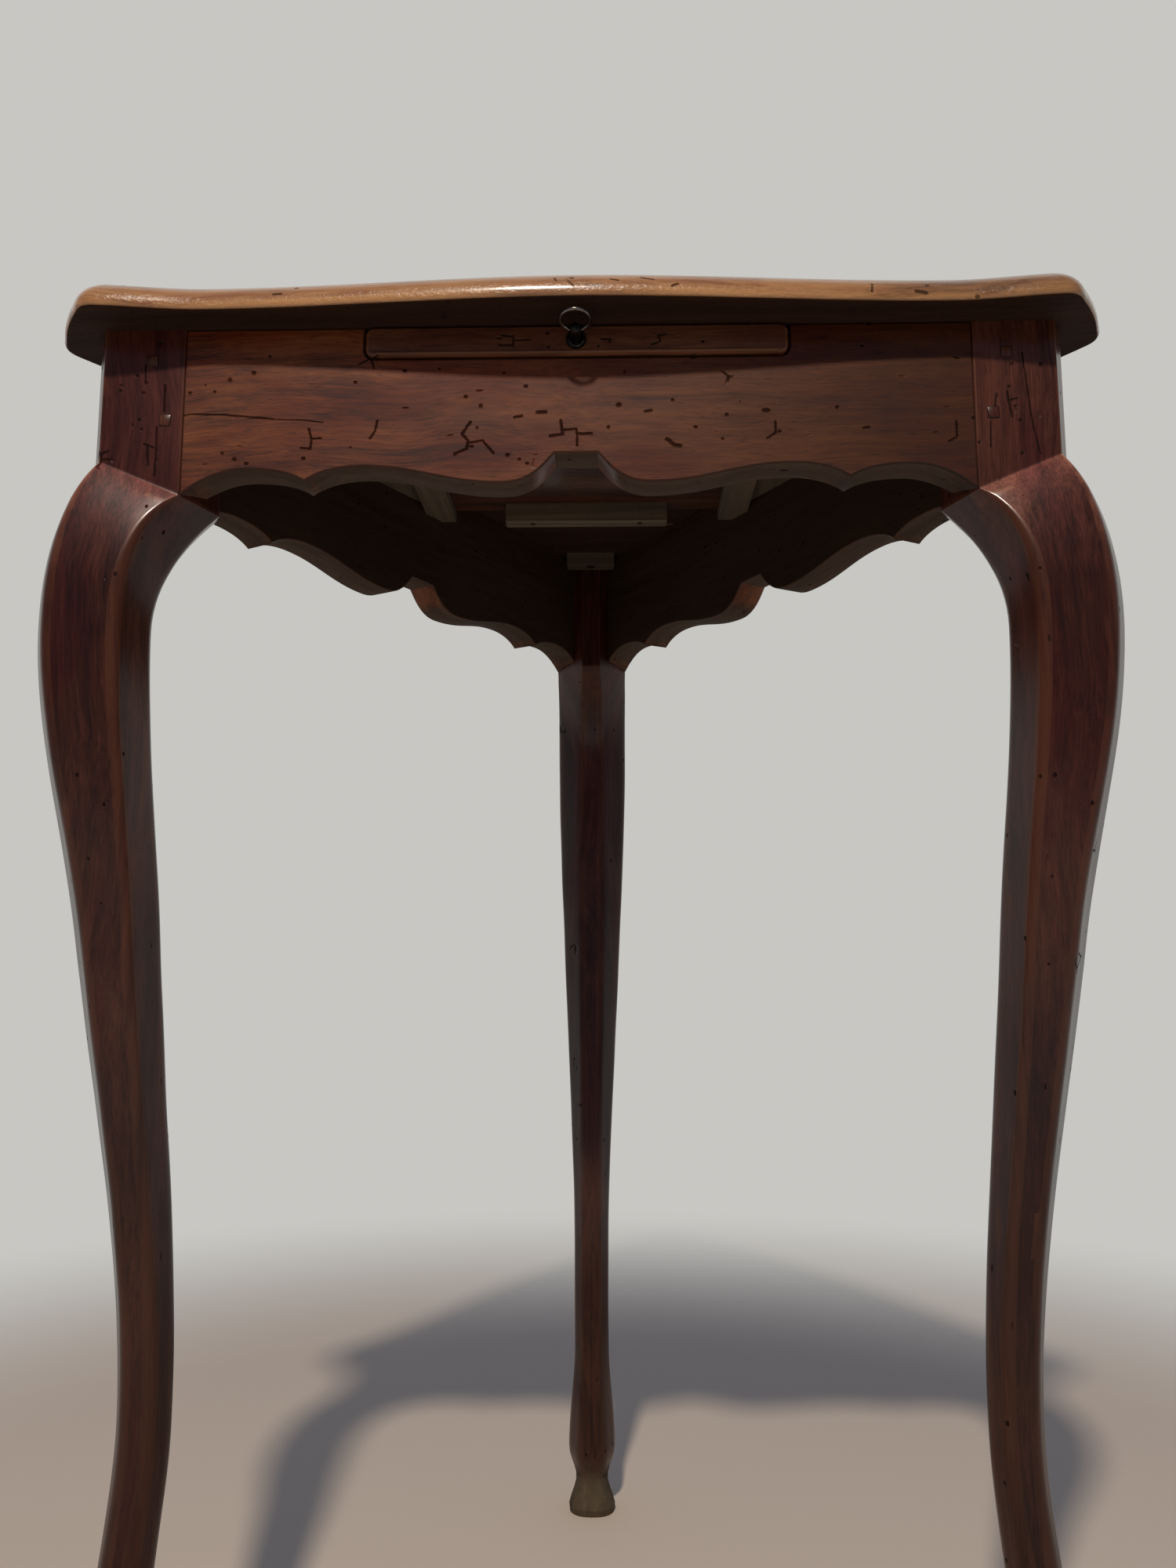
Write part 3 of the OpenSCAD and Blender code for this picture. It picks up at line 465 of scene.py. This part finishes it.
# The boards stay a hair inside the solid's outline
WITHIN = 0.06
for name, low, high in (("front", None, FRONT_SEAM), ("middle", FRONT_SEAM, BACK_SEAM),
                        ("back", BACK_SEAM, None)):
    bm = skin([[(x, y, TOP_Z + z) for x, y in outline(inset + WITHIN)] for inset, z in top_rings])
    for seam, clear_low in ((low, True), (high, False)):
        if seam is not None:
            rim = slice_at(bm, (0, seam, 0), (0, 1, 0), clear_inner=clear_low, clear_outer=not clear_low)
            bmesh.ops.contextual_create(bm, geom=rim)
            soften(bm, [e for e in bm.edges if all(abs(v.co.y - seam) < 1e-4 for v in e.verts)], 0.25, 1)
    bm.transform(turned(0))
    dress(bm, f"top_{name}_board", "frame", [top_walnut], [f"top_board_{name}"])


# ---- Aprons ----
# Three walnut rails sawn to one scalloped pattern: a notch in the middle, a long wave, a
# cusp and an arch that runs into the leg. The front one has the slot for the slide.
APRON_T, APRON_H = 20, 85.5
FRAME_W, POST_FACE = 466, 40
JOINT_AT = FRAME_W / 2 - POST_FACE
JOINT_Z = TOP_Z - APRON_H
JOINT_GAP = 0.45
# How far an apron's end leans in, from the front to the back of its joint
LEAN = math.tan(math.radians(20))
LIP_H, LIP_HALF, LIP_R = 15, 103.5, 4
LIP_Z = TOP_Z - 0.8 - LIP_H
SLOT_GAP = 0.6


def bezier(a, b, c, d, n):
    """n points of the cubic curve from a to d, without a."""
    return [tuple((1 - t) ** 3 * p + 3 * (1 - t) ** 2 * t * q + 3 * (1 - t) * t * t * r + t ** 3 * s
                  for p, q, r, s in zip(a, b, c, d)) for t in [i / n for i in range(1, n + 1)]]


def half_edge():
    """The lower edge from the middle to the post, as distance and depth below the top."""
    wave, cusp, arch = JOINT_AT - 88, JOINT_AT - 61, JOINT_AT - 32
    return ([(10.5, 65.5)]
            + bezier((10.5, 65.5), (15.5, 71.5), (22, 80.5), (36, 80.5), 10)
            + bezier((36, 80.5), (65, 80.5), (77.4, 71.5), (wave, 71.5), 16)
            + bezier((wave, 71.5), (wave + 13.5, 71.5), (cusp - 4, 75.6), (cusp, 79), 8)
            + bezier((cusp, 79), (cusp + 5.8, 75.1), (arch - 14.5, 72.5), (arch, 72.5), 10)
            + bezier((arch, 72.5), (arch + 14.4, 72.5), (JOINT_AT - 6.4, 80.3), (JOINT_AT, APRON_H), 12))


def plate(points, thickness):
    """A flat piece cut to an outline of (x, z) points, from y = 0 inwards."""
    bm = bmesh.new()
    ring = bmesh.ops.create_circle(bm, cap_ends=True, segments=len(points), radius=1)["verts"]
    for v, (x, z) in zip(ring, points):
        v.co = (x, 0, z)
    back = bmesh.ops.extrude_face_region(bm, geom=bm.faces[:])["geom"]
    back = [v for v in back if isinstance(v, bmesh.types.BMVert)]
    bmesh.ops.translate(bm, verts=back, vec=(0, thickness, 0))
    bmesh.ops.recalc_face_normals(bm, faces=bm.faces)
    return bm


def apron(turns, name, material, slotted, splits=()):
    """One rail, cut for the slide if slotted, with rounded arrises and a fine gap at each post."""
    edge = half_edge()
    points = [(JOINT_AT, TOP_Z)]
    if slotted:
        half, floor, r = LIP_HALF + SLOT_GAP, LIP_Z - SLOT_GAP, LIP_R + SLOT_GAP
        points += [(half, TOP_Z), (half, floor + r)]
        steps = [math.pi / 10 * i for i in range(1, 5)]
        points += [(half - r + r * math.cos(a), floor + r - r * math.sin(a)) for a in steps]
        points += [(half - r, floor), (-half + r, floor)]
        points += [(-half + r - r * math.sin(a), floor + r - r * math.cos(a)) for a in steps]
        points += [(-half, floor + r), (-half, TOP_Z)]
    points += [(-JOINT_AT, TOP_Z)] + [(-x, TOP_Z - d) for x, d in reversed(edge)]
    points += [(x, TOP_Z - d) for x, d in edge]
    bm = plate(points, APRON_T)
    front = [e for e in bm.edges if abs(e.calc_face_angle(0) - math.pi / 2) < 0.1 and e.calc_length() < 300
             and abs(e.verts[0].co.y - e.verts[1].co.y) < 1e-6]
    soften(bm, front, 1.3)
    for end in (-1, 1):
        lean = Vector((end, LEAN, 0)).normalized()
        at = end * (JOINT_AT - JOINT_GAP)
        rim = slice_at(bm, (at, 0, 0), lean, clear_outer=True)
        bmesh.ops.contextual_create(bm, geom=rim)
        shoulder = [e for e in bm.edges
                    if all(abs(v.co.y) < 0.01 and abs(v.co.x - at) < 0.01 for v in e.verts)]
        soften(bm, shoulder, 0.8, 2)
    # A long face is split where one stretch of scars ends and the next begins
    for x in splits:
        slice_at(bm, (x, 0, 0), (1, 0, 0))
    for face in bm.faces:
        face.material_index = sum(face.calc_center_median().x > x for x in splits)
    bm.transform(on_side(turns))
    return dress(bm, f"scalloped_{name}", "frame", material, [name])


def along(turns):
    """The turn that brings a side's length to the grain's axis."""
    return (0, 0, math.radians(-120 * turns))


def in_front(width, path, proud=0):
    """A scar on the front apron's face, or proud of it, through (x, z) points, and how wide it is."""
    return width, [(x, apron_face / MM - proud, z) for x, z in path]


def spots(width, points):
    """Round holes on the front apron's face."""
    return [in_front(width, [p]) for p in points]


left_scars = [
    # A drying crack that starts at the left joint, and forked galleries of the furniture beetle
    in_front(1.1, [(-194, 657.4), (-189, 658.5), (-173, 658), (-148, 655.5)]),
    in_front(0.7, [(-148, 655.5), (-134, 655), (-123.5, 653.5)]),
    in_front(1.2, [(-130.5, 650.5), (-129, 645), (-129.5, 640), (-134, 640.5)]),
    in_front(1.1, [(-129, 645), (-124.5, 645.5)]),
    in_front(1.1, [(-97, 654), (-98, 649), (-100.5, 645)]),
] + spots(2.2, [(-158.6, 679.6), (-170.3, 676.2), (-166.6, 635.2)]) + spots(1.7, [
    (-177.6, 670), (-189.7, 669.4), (-172.6, 638.2), (-150.9, 688.3), (-108.3, 674.2)])
middle_scars = [
    in_front(1.4, [(-51.5, 653), (-55.5, 647), (-52.5, 643.5), (-53, 639.5), (-58.5, 637)]),
    in_front(1.2, [(-52.5, 642.5), (-45.5, 643.5), (-40, 637)]),
] + spots(2.0, [(-53.9, 666.1), (-46.5, 661.4), (-33.2, 636.1), (-58.8, 636.8)]) + spots(1.6, [
    (-48.2, 650.1), (-50.7, 640.6), (-67.1, 681), (-35.4, 678.4)])
centre_scars = [
    in_front(1.3, [(-7.5, 653.5), (-6.5, 646.5), (-12.5, 645.5)]),
    in_front(1.3, [(-6, 648.5), (0, 649), (0.5, 646.5), (7.5, 646.5)]),
    in_front(1.1, [(0.5, 646.5), (0.5, 640.5)]),
    in_front(1.5, [(-29.9, 655.3), (-26.5, 655.9)]), in_front(1.8, [(-18.8, 657.7), (-15, 657.8)]),
] + spots(2.6, [(20.8, 661.2)]) + spots(1.7, [(-27.5, 633.9), (-23.7, 631.7), (15.7, 649.8), (23.7, 678.5)])
right_scars = [
    in_front(1.9, [(44, 643.5), (47.5, 640.5), (50.5, 640)]),
    in_front(1.1, [(96.5, 652), (96.5, 646), (92.5, 643.5)]),
    in_front(1.6, [(33.7, 657.6), (36.4, 658.1)]), in_front(1.4, [(139.1, 648), (141.4, 648.6)]),
    in_front(1.1, [(183.5, 651.5), (183.5, 643), (179.5, 641)]),
    in_front(1.4, [(183.8, 684.1), (185.7, 683.3)]),
] + spots(1.8, [(98.4, 646.9), (70.9, 643.3), (46.9, 663.4), (73.1, 655.7), (126.5, 658.9), (139.4, 690.6)])
front_stretches = (left_scars, middle_scars, centre_scars, right_scars)
for turns, name, stretches, splits in ((0, "apron_front", front_stretches, (-80, -32, 25)),
                                       (-1, "apron_left", ((),), ()), (1, "apron_right", ((),), ())):
    inwards = spun((0, 1), 120 * turns)
    # Satin red brown, black in its cracks and grey where never polished; on the front rail painted shade
    # darkens it to the right, and the inner face's dark unpolished colour is partly painted shade
    rail_walnut = [walnut(f"walnut_{name}_waxed_{i + 1}", "28120b", "68391f", "8a532d", along(turns), 0.42,
                          edge="22110c", marks=scars, bare_and_shaded=[(DOWN, "4e443c"), ((*inwards, 0), "33261d")],
                          shade=(-90, 150, 0.9) if turns == 0 else None, dents=0.03)
                   for i, scars in enumerate(stretches)]
    apron(turns, name, rail_walnut, turns == 0, splits)


# ---- Legs ----
# Each leg is cut from one baulk of walnut: a five-sided post that takes the aprons'
# tenons, a full knee below a sloping shoulder, a slim shin and a cloven doe's foot.
# The arrises are rubbed round, and the hoof is bare of polish and grey with dirt.
POST_SIDE = POST_OUT - POST_FACE * COS_30
POST_HALF, POST_FLAT, POST_SOFT = 26.5, 6.5, 0.8
KNEE_HALF, KNEE_FLAT, KNEE_SOFT = 27.5, 10, 4.5
POST_IN = POST_SIDE - (POST_HALF - POST_FLAT) * (0.5 + COS_30 * LEAN) / (COS_30 - 0.5 * LEAN)
KNEE_Z, KNEE_OUT, KNEE_IN = 553, POST_OUT + 21.5, POST_OUT - 28.5
TOE = POST_OUT + 4


def profile(sole, widest, neck, above):
    """One of the leg's profiles, as (height, value): the hoof tapers almost straight to the neck."""
    taper = [(3 + 19 * rise, widest + (neck - widest) * share)
             for rise, share in ((0.2, 0.13), (0.8, 0.87))]
    return [(0, sole), (3, widest)] + taper + [(22, neck)] + list(zip((44, 118, 185, 400, KNEE_Z), above))


out_line = profile(TOE - 2, TOE, POST_OUT - 10,
                   [POST_OUT - 9, POST_OUT - 26, POST_OUT - 32, POST_OUT - 4, KNEE_OUT])
in_line = profile(TOE - 42, TOE - 44, POST_OUT - 35,
                  [POST_OUT - 44, POST_OUT - 50.5, POST_OUT - 55.5, POST_OUT - 40, KNEE_IN])
half_line = profile(18, 19, 12.5, [18.5, 13.5, 13.5, 22, KNEE_HALF])
flat_line = profile(2.4, 2.4, 6.25, [9.25, 6.75, 6.75, 11, KNEE_FLAT])
soft_line = profile(9, 9, 6, [7, 5, 4, 3.5, KNEE_SOFT])
share_line = profile(0.55, 0.55, 0.6, [0.45, 0.4, 0.4, 0.35, 0.3])


def leg_ring(z, out, flat, half, inner, inner_half, soft, slant):
    """One section of a leg, six-sided with softened corners; slant lifts it outside the joint line."""
    side = out - 2 * (half - flat) * COS_30
    corners = [Vector(c) for c in ((flat, out), (-flat, out), (-half, side), (-inner_half, inner),
                                   (inner_half, inner), (half, side))]
    ring = []
    for i, p in enumerate(corners):
        a, b = corners[i - 1] - p, corners[(i + 1) % 6] - p
        pa = p + a.normalized() * min(soft, 0.45 * a.length)
        pb = p + b.normalized() * min(soft, 0.45 * b.length)
        ring += [Vector(q) for q in arc_corner(pa, p, pb, 6)]
        c = corners[(i + 1) % 6]
        pc = c - b.normalized() * min(soft, 0.45 * b.length)
        steps = 10 if i == 0 else 4
        ring += [pb.lerp(pc, k / steps) for k in range(1, steps)]
    return [Vector((q.x, q.y, z + slant * max(0, q.y - POST_SIDE))) for q in ring]


def lerp(a, b, t):
    """The value a share t of the way from a to b."""
    return a + (b - a) * t


SHIN_RINGS, SHOULDER_RINGS, SHOULDER_RISE = 110, 22, 0.5
leg_rings = []
for k in range(SHIN_RINGS + 1):
    z = KNEE_Z * k / SHIN_RINGS
    half = smooth(half_line, z)
    leg_rings.append(leg_ring(z, smooth(out_line, z), smooth(flat_line, z), half, smooth(in_line, z),
                              half * smooth(share_line, z), smooth(soft_line, z), 0))
for k in range(1, SHOULDER_RINGS):
    rise = math.sin(math.pi / 2 * k / SHOULDER_RINGS)
    back, swell = rise * rise, 1 - rise ** 2.2
    leg_rings.append(leg_ring(lerp(KNEE_Z, JOINT_Z, rise), lerp(POST_OUT, KNEE_OUT, swell),
                              lerp(POST_FLAT, KNEE_FLAT, swell), lerp(KNEE_HALF, POST_HALF, back),
                              lerp(KNEE_IN, POST_IN, back), lerp(8.25, POST_FLAT, back),
                              lerp(KNEE_SOFT, POST_SOFT, back), SHOULDER_RISE * rise))
for share in (0, 0.02, 0.3, 0.6, 0.9, 1):
    leg_rings.append(leg_ring(lerp(JOINT_Z, TOP_Z, share), POST_OUT, POST_FLAT, POST_HALF, POST_IN,
                              POST_FLAT, POST_SOFT, SHOULDER_RISE * (1 - share)))

left_scars = [
    in_front(1.3, [(-202.2, 673.6), (-202.2, 660)]), in_front(1.1, [(-205.4, 652.1), (-205.2, 627.2)]),
    in_front(1.1, [(-209.5, 642.5), (-208.8, 632.5)]), in_front(0.8, [(-212.4, 684.4), (-212.1, 676)]),
    in_front(1.2, [(-211.5, 643.5), (-206.5, 641.5)]),
] + spots(1.8, [(-216.4, 678.9), (-212.7, 669.9), (-211.8, 675.1), (-224, 673.8), (-214.2, 655.9),
                (-212.8, 651.1)])
right_scars = [
    in_front(0.8, [(216.5, 686), (220, 649.5), (223, 634)]),
    in_front(0.9, [(203.5, 665), (202, 656.5)]),
    in_front(0.9, [(200, 651), (199.5, 638)]),
    in_front(1.2, [(208.5, 666), (209, 661.5), (210.5, 653)]),
    in_front(1.0, [(209, 661.5), (213.5, 662.5)]),
] + spots(1.9, [(211.4, 680.2), (209.6, 668.6), (212, 658.5), (213.9, 651.4), (214.3, 634.6),
                (193.9, 640.2)])
# Without a seed of its own, the noise takes the clock's and every run cuts other legs
LEG_SEED = 3
noise.seed_set(LEG_SEED)
for turns, name, scars in ((1, "front_left", left_scars), (-1, "front_right", right_scars),
                           (0, "back", ())):
    bm = skin(leg_rings)
    for v in bm.verts:
        # The cleft between the two halves of the hoof, open at the toe
        if v.co.z < 20 and v.co.y > TOE - 20:
            depth = 4 * max(0, 1 - abs(v.co.x) / 2.2) * min(1, (21 - v.co.z) / 8)
            v.co.y -= depth
        # A curled nick on each side of the neck, where the dew claws are
        nick = max(0, 1 - abs(v.co.z - 25) / 4) * max(0, 1 - abs(v.co.y - (POST_OUT - 29)) / 6)
        v.co.x -= math.copysign(1.6 * nick, v.co.x) if abs(v.co.x) > 6 else 0
        # The hand's unevenness: a spokeshave leaves hollows about 40 mm long. The leg is drawn in
        # a little, so that its swellings stay inside the solid's box
        if 4 < v.co.z < TOP_Z - 90:
            at = Vector((v.co.x / 18 + turns * 7, v.co.y / 18, v.co.z / 42))
            v.co += 0.3 * noise.noise_vector(at) - Vector((0, 0.15, 0))
    bm.transform(turned(turns) @ Matrix.Translation((0, APEX, 0)))
    claws = [(1.3, [turned(turns) @ Vector((side * x, APEX + POST_OUT - y, z)) / MM
                    for x, y, z in ((12.3, 25, 28), (10.5, 31, 26), (7.3, 35, 24.4))]) for side in (-1, 1)]
    # Dark red brown with a waxed gloss, painted light on the knee's upper side and painted shade on the
    # shin, grey and dull on the hoof
    leg_walnut = walnut(f"walnut_leg_{name}_waxed", "1a0c08", "3d1f15", "5a3325",
                        (0, math.radians(90), 0), 0.24, edge="54301f", marks=list(scars) + claws,
                        leg=True, dents=0.03)
    dress(bm, f"cabriole_leg_{name}", "frame", [leg_walnut], [f"leg_{name}"], sharp=28)


# ---- Pegs ----
# Four square pegs of split oak lock the tenons in each post. They were driven in from
# outside, and their heads stand a little proud because the posts have shrunk.
PEG, PEG_LONG, PROUD = 6, 18, 0.6
# End grain a shade lighter than the post, with black dirt round its edges
peg_oak = walnut("oak_pegs_waxed", "2a140d", "4d2b1d", "66402b",
                 (math.radians(90), 0, math.radians(90)), 0.3, edge="170a06", age=0.3)
for turns, name in ((1, "front_left"), (-1, "front_right"), (0, "back")):
    bm = bmesh.new()
    for end in (-1, 1):
        for from_joint, drop, tilt in ((16, 16, 3), (8.5, 47, -4)):
            cube = bmesh.ops.create_cube(bm, size=1)["verts"]
            place = (turned(turns) @ Matrix.Rotation(math.radians(120 * end), 4, "Z")
                     @ Matrix.Translation((end * (JOINT_AT + from_joint), PEG_LONG / 2 - PROUD - INRADIUS,
                                           TOP_Z - drop))
                     @ Matrix.Rotation(math.radians(tilt * end), 4, "Y")
                     @ Matrix.Diagonal((PEG, PEG_LONG, PEG, 1)))
            bmesh.ops.transform(bm, matrix=place, verts=cube)
    soften(bm, bm.edges[:], 0.7 * MM, 2)
    dress(bm, f"square_pegs_{name}", "frame", [peg_oak], [f"pegs_{name}"])


# ---- Runners, corner blocks and stop ----
# Raw softwood straight from the saw, screwed under the top where nobody looks: two
# boards with a ledge for the slide, three blocks and the stop batten, grey with age.
def raw_wood(name, turn):
    """Unpolished softwood: dusty grey brown and dull, with fibres and saw marks."""
    material, tree = new_material(name)
    place = put(tree, "TexCoord").outputs["Object"]
    p = put(tree, "Mapping", {"Vector": place, "Rotation": turn}).outputs["Vector"]
    # Fibres 4 to 5 mm wide, drawn coarse so that they show
    fibres = put(tree, "VectorMath", {0: p, 1: (9, 220, 220)}, operation="MULTIPLY").outputs[0]
    grain = put(tree, "TexNoise", {"Vector": fibres, "Scale": 1, "Detail": 5})
    # Saw marks across the grain, 4 mm apart
    saw = put(tree, "TexWave", {"Vector": p, "Scale": 80, "Distortion": 1.5, "Detail": 1},
              bands_direction="X")
    dust = put(tree, "TexNoise", {"Vector": p, "Scale": 14, "Detail": 3})
    wood = put(tree, "ValToRGB", {"Fac": grain.outputs["Fac"]},
               stops=[(0.3, "33291f"), (0.5, "5c4e3c"), (0.72, "796a54")])
    grey = put(tree, "Mix", {0: dust.outputs["Fac"], 6: wood.outputs["Color"], 7: linear("423a30")},
               data_type="RGBA")
    height = put(tree, "Math", {0: grain.outputs["Fac"], 1: saw.outputs["Fac"]}, operation="ADD")
    bump = put(tree, "Bump", {"Strength": 0.5, "Distance": 0.0003, "Height": height.outputs[0]})
    shader = put(tree, "BsdfPrincipled", {"Base Color": grey.outputs[2], "Roughness": 0.85,
                                          "Normal": bump.outputs["Normal"]})
    put(tree, "OutputMaterial", {"Surface": shader.outputs["BSDF"]})
    return material


def refinish(name, material):
    """Gives a CAD node that keeps its shape a finish of its own."""
    nodes[name].data.materials.clear()
    nodes[name].data.materials.append(material)


raw_along_depth = raw_wood("softwood_runners_sawn", (0, 0, math.radians(90)))
raw_along_width = raw_wood("softwood_blocks_sawn", (0, 0, 0))
for name in ("runner_left", "runner_right"):
    refinish(name, raw_along_depth)
for name in ("corner_blocks", "slide_stop"):
    refinish(name, raw_along_width)


# ---- Writing slide ----
# A thin walnut board runs on the ledges. Its lip, a strip with round corners and a bead
# along the bottom, is tongued on in front and fills the slot in the apron.
# Worn brown, with hardly any polish left
slide_walnut = walnut("walnut_slide_worn", "22140e", "3f281b", "5b3c27", (0, 0, 0), 0.5, age=0.5)
refinish("slide_board", slide_walnut)
lip_scars = [
    in_front(1.1, [(-36.7, 697.1), (-30.9, 696.2)], 2),
    in_front(1.1, [(-30.8, 697), (-30.8, 691.9), (-36.3, 691.7)], 2),
    in_front(0.9, [(-30.9, 694.1), (-22.4, 694.5)], 2),
    in_front(1.1, [(12.5, 694.5), (16.7, 694.4), (16.3, 693.2)], 2),
    in_front(1.1, [(37, 691.4), (41.2, 693), (40, 696.2), (43.9, 696.6)], 2),
    in_front(1.7, [(-13.6, 690.7)], 2),
    in_front(1.7, [(10.9, 690.8)], 2),
    in_front(1.7, [(61.8, 692.7)], 2),
]
# Brown like the apron but a little lighter along its rubbed edges
lip_walnut = walnut("walnut_lip_waxed", "27150f", "4e3021", "6e4830", (0, 0, 0), 0.3, edge="6d452c",
                    marks=lip_scars)
points = []
wide, low, high = LIP_HALF - LIP_R, LIP_Z + LIP_R, LIP_Z + LIP_H - LIP_R
for x, z, start in ((wide, low, -90), (wide, high, 0), (-wide, high, 90), (-wide, low, 180)):
    steps = [math.radians(start + 15 * i) for i in range(7)]
    points += [(x + LIP_R * math.cos(a), z + LIP_R * math.sin(a)) for a in steps]
LIP_T, LIP_PROUD, BEAD_R = 12, 2, 1.1
bm = plate(points, LIP_T)
soften(bm, [e for e in bm.edges if all(abs(v.co.y) < 1e-6 for v in e.verts)], 1.6, 5)
bead = bmesh.ops.create_cone(bm, cap_ends=True, segments=20, radius1=BEAD_R, radius2=BEAD_R,
                             depth=2 * (LIP_HALF - 5))["verts"]
laid = Matrix.Translation((0, BEAD_R / 2, LIP_Z + 1.5)) @ Matrix.Rotation(math.radians(90), 4, "Y")
bmesh.ops.transform(bm, matrix=laid, verts=bead)
bmesh.ops.translate(bm, verts=bm.verts, vec=(0, -LIP_PROUD, 0))
bm.transform(on_side(0))
dress(bm, "slide_front_lip", "slide", [lip_walnut], ["slide_lip"])


# ---- Screws and nails ----
# Blackened iron, cut and filed by hand: countersunk screws hold the runners and the
# blocks up to the top, and two nails hold the stop.
def iron(name, dark, light, rough):
    """Forged iron, blackened and lightly rusted, with hammer marks 3 mm across."""
    material, tree = new_material(name)
    place = put(tree, "TexCoord").outputs["Object"]
    marks = put(tree, "TexNoise", {"Vector": place, "Scale": 330, "Detail": 3})
    rust = put(tree, "TexNoise", {"Vector": place, "Scale": 700, "Detail": 4})
    colour = put(tree, "ValToRGB", {"Fac": rust.outputs["Fac"]},
                 stops=[(0.4, dark), (0.6, light), (0.75, "4a2f22")])
    bump = put(tree, "Bump", {"Strength": 0.4, "Distance": 0.0002, "Height": marks.outputs["Fac"]})
    worn = put(tree, "MapRange", {"Value": marks.outputs["Fac"], "From Min": 0.3, "From Max": 0.7,
                                  "To Min": rough - 0.12, "To Max": rough + 0.12})
    shader = put(tree, "BsdfPrincipled", {"Base Color": colour.outputs["Color"], "Metallic": 1,
                                          "Roughness": worn.outputs["Result"],
                                          "Normal": bump.outputs["Normal"]})
    put(tree, "OutputMaterial", {"Surface": shader.outputs["BSDF"]})
    return material


# Dull brown black, without a highlight
dull_iron = iron("iron_screws_rusted", "2a2422", "3d322c", 0.6)
for name in ("runner_screws", "block_screws", "stop_nails"):
    refinish(name, dull_iron)


# ---- Ring pull ----
# A small iron ring swings stiffly in the eye of a stud, which is screwed through a
# rosette into the lip. The ring's upper side is rubbed bright by fingers.
# Nearly black, with a soft sheen
pull_iron = iron("iron_pull_blackened", "211e1d", "393533", 0.42)
for name in ("pull_rosette", "pull_stud"):
    refinish(name, pull_iron)
# Grey, with a bright line along its upper side
ring_iron = iron("iron_ring_rubbed_bright", "5a5553", "7d7874", 0.26)
HINGE = Vector((0, apron_face / MM - 11, LIP_Z + LIP_H / 2))
bm = bmesh.new()
RING_R, WIRE_R = 7.1, 0.9
wire = bmesh.ops.create_circle(bm, cap_ends=False, segments=20, radius=WIRE_R)["verts"]
stood = Matrix.Translation((RING_R, 0, 0)) @ Matrix.Rotation(math.radians(90), 4, "X")
bmesh.ops.transform(bm, matrix=stood, verts=wire)
bmesh.ops.spin(bm, geom=bm.verts[:] + bm.edges[:], angle=2 * math.pi, steps=72, axis=(0, 0, 1),
               cent=(0, 0, 0), use_merge=True)
bmesh.ops.remove_doubles(bm, verts=bm.verts, dist=1e-4)
bmesh.ops.recalc_face_normals(bm, faces=bm.faces)
bm.transform(Matrix.Scale(MM, 4) @ Matrix.Translation(HINGE) @ Matrix.Rotation(math.radians(-14), 4, "X")
             @ Matrix.Translation((0, -RING_R, 0)))
dress(bm, "iron_ring", "ring", [ring_iron], ["pull_ring"])
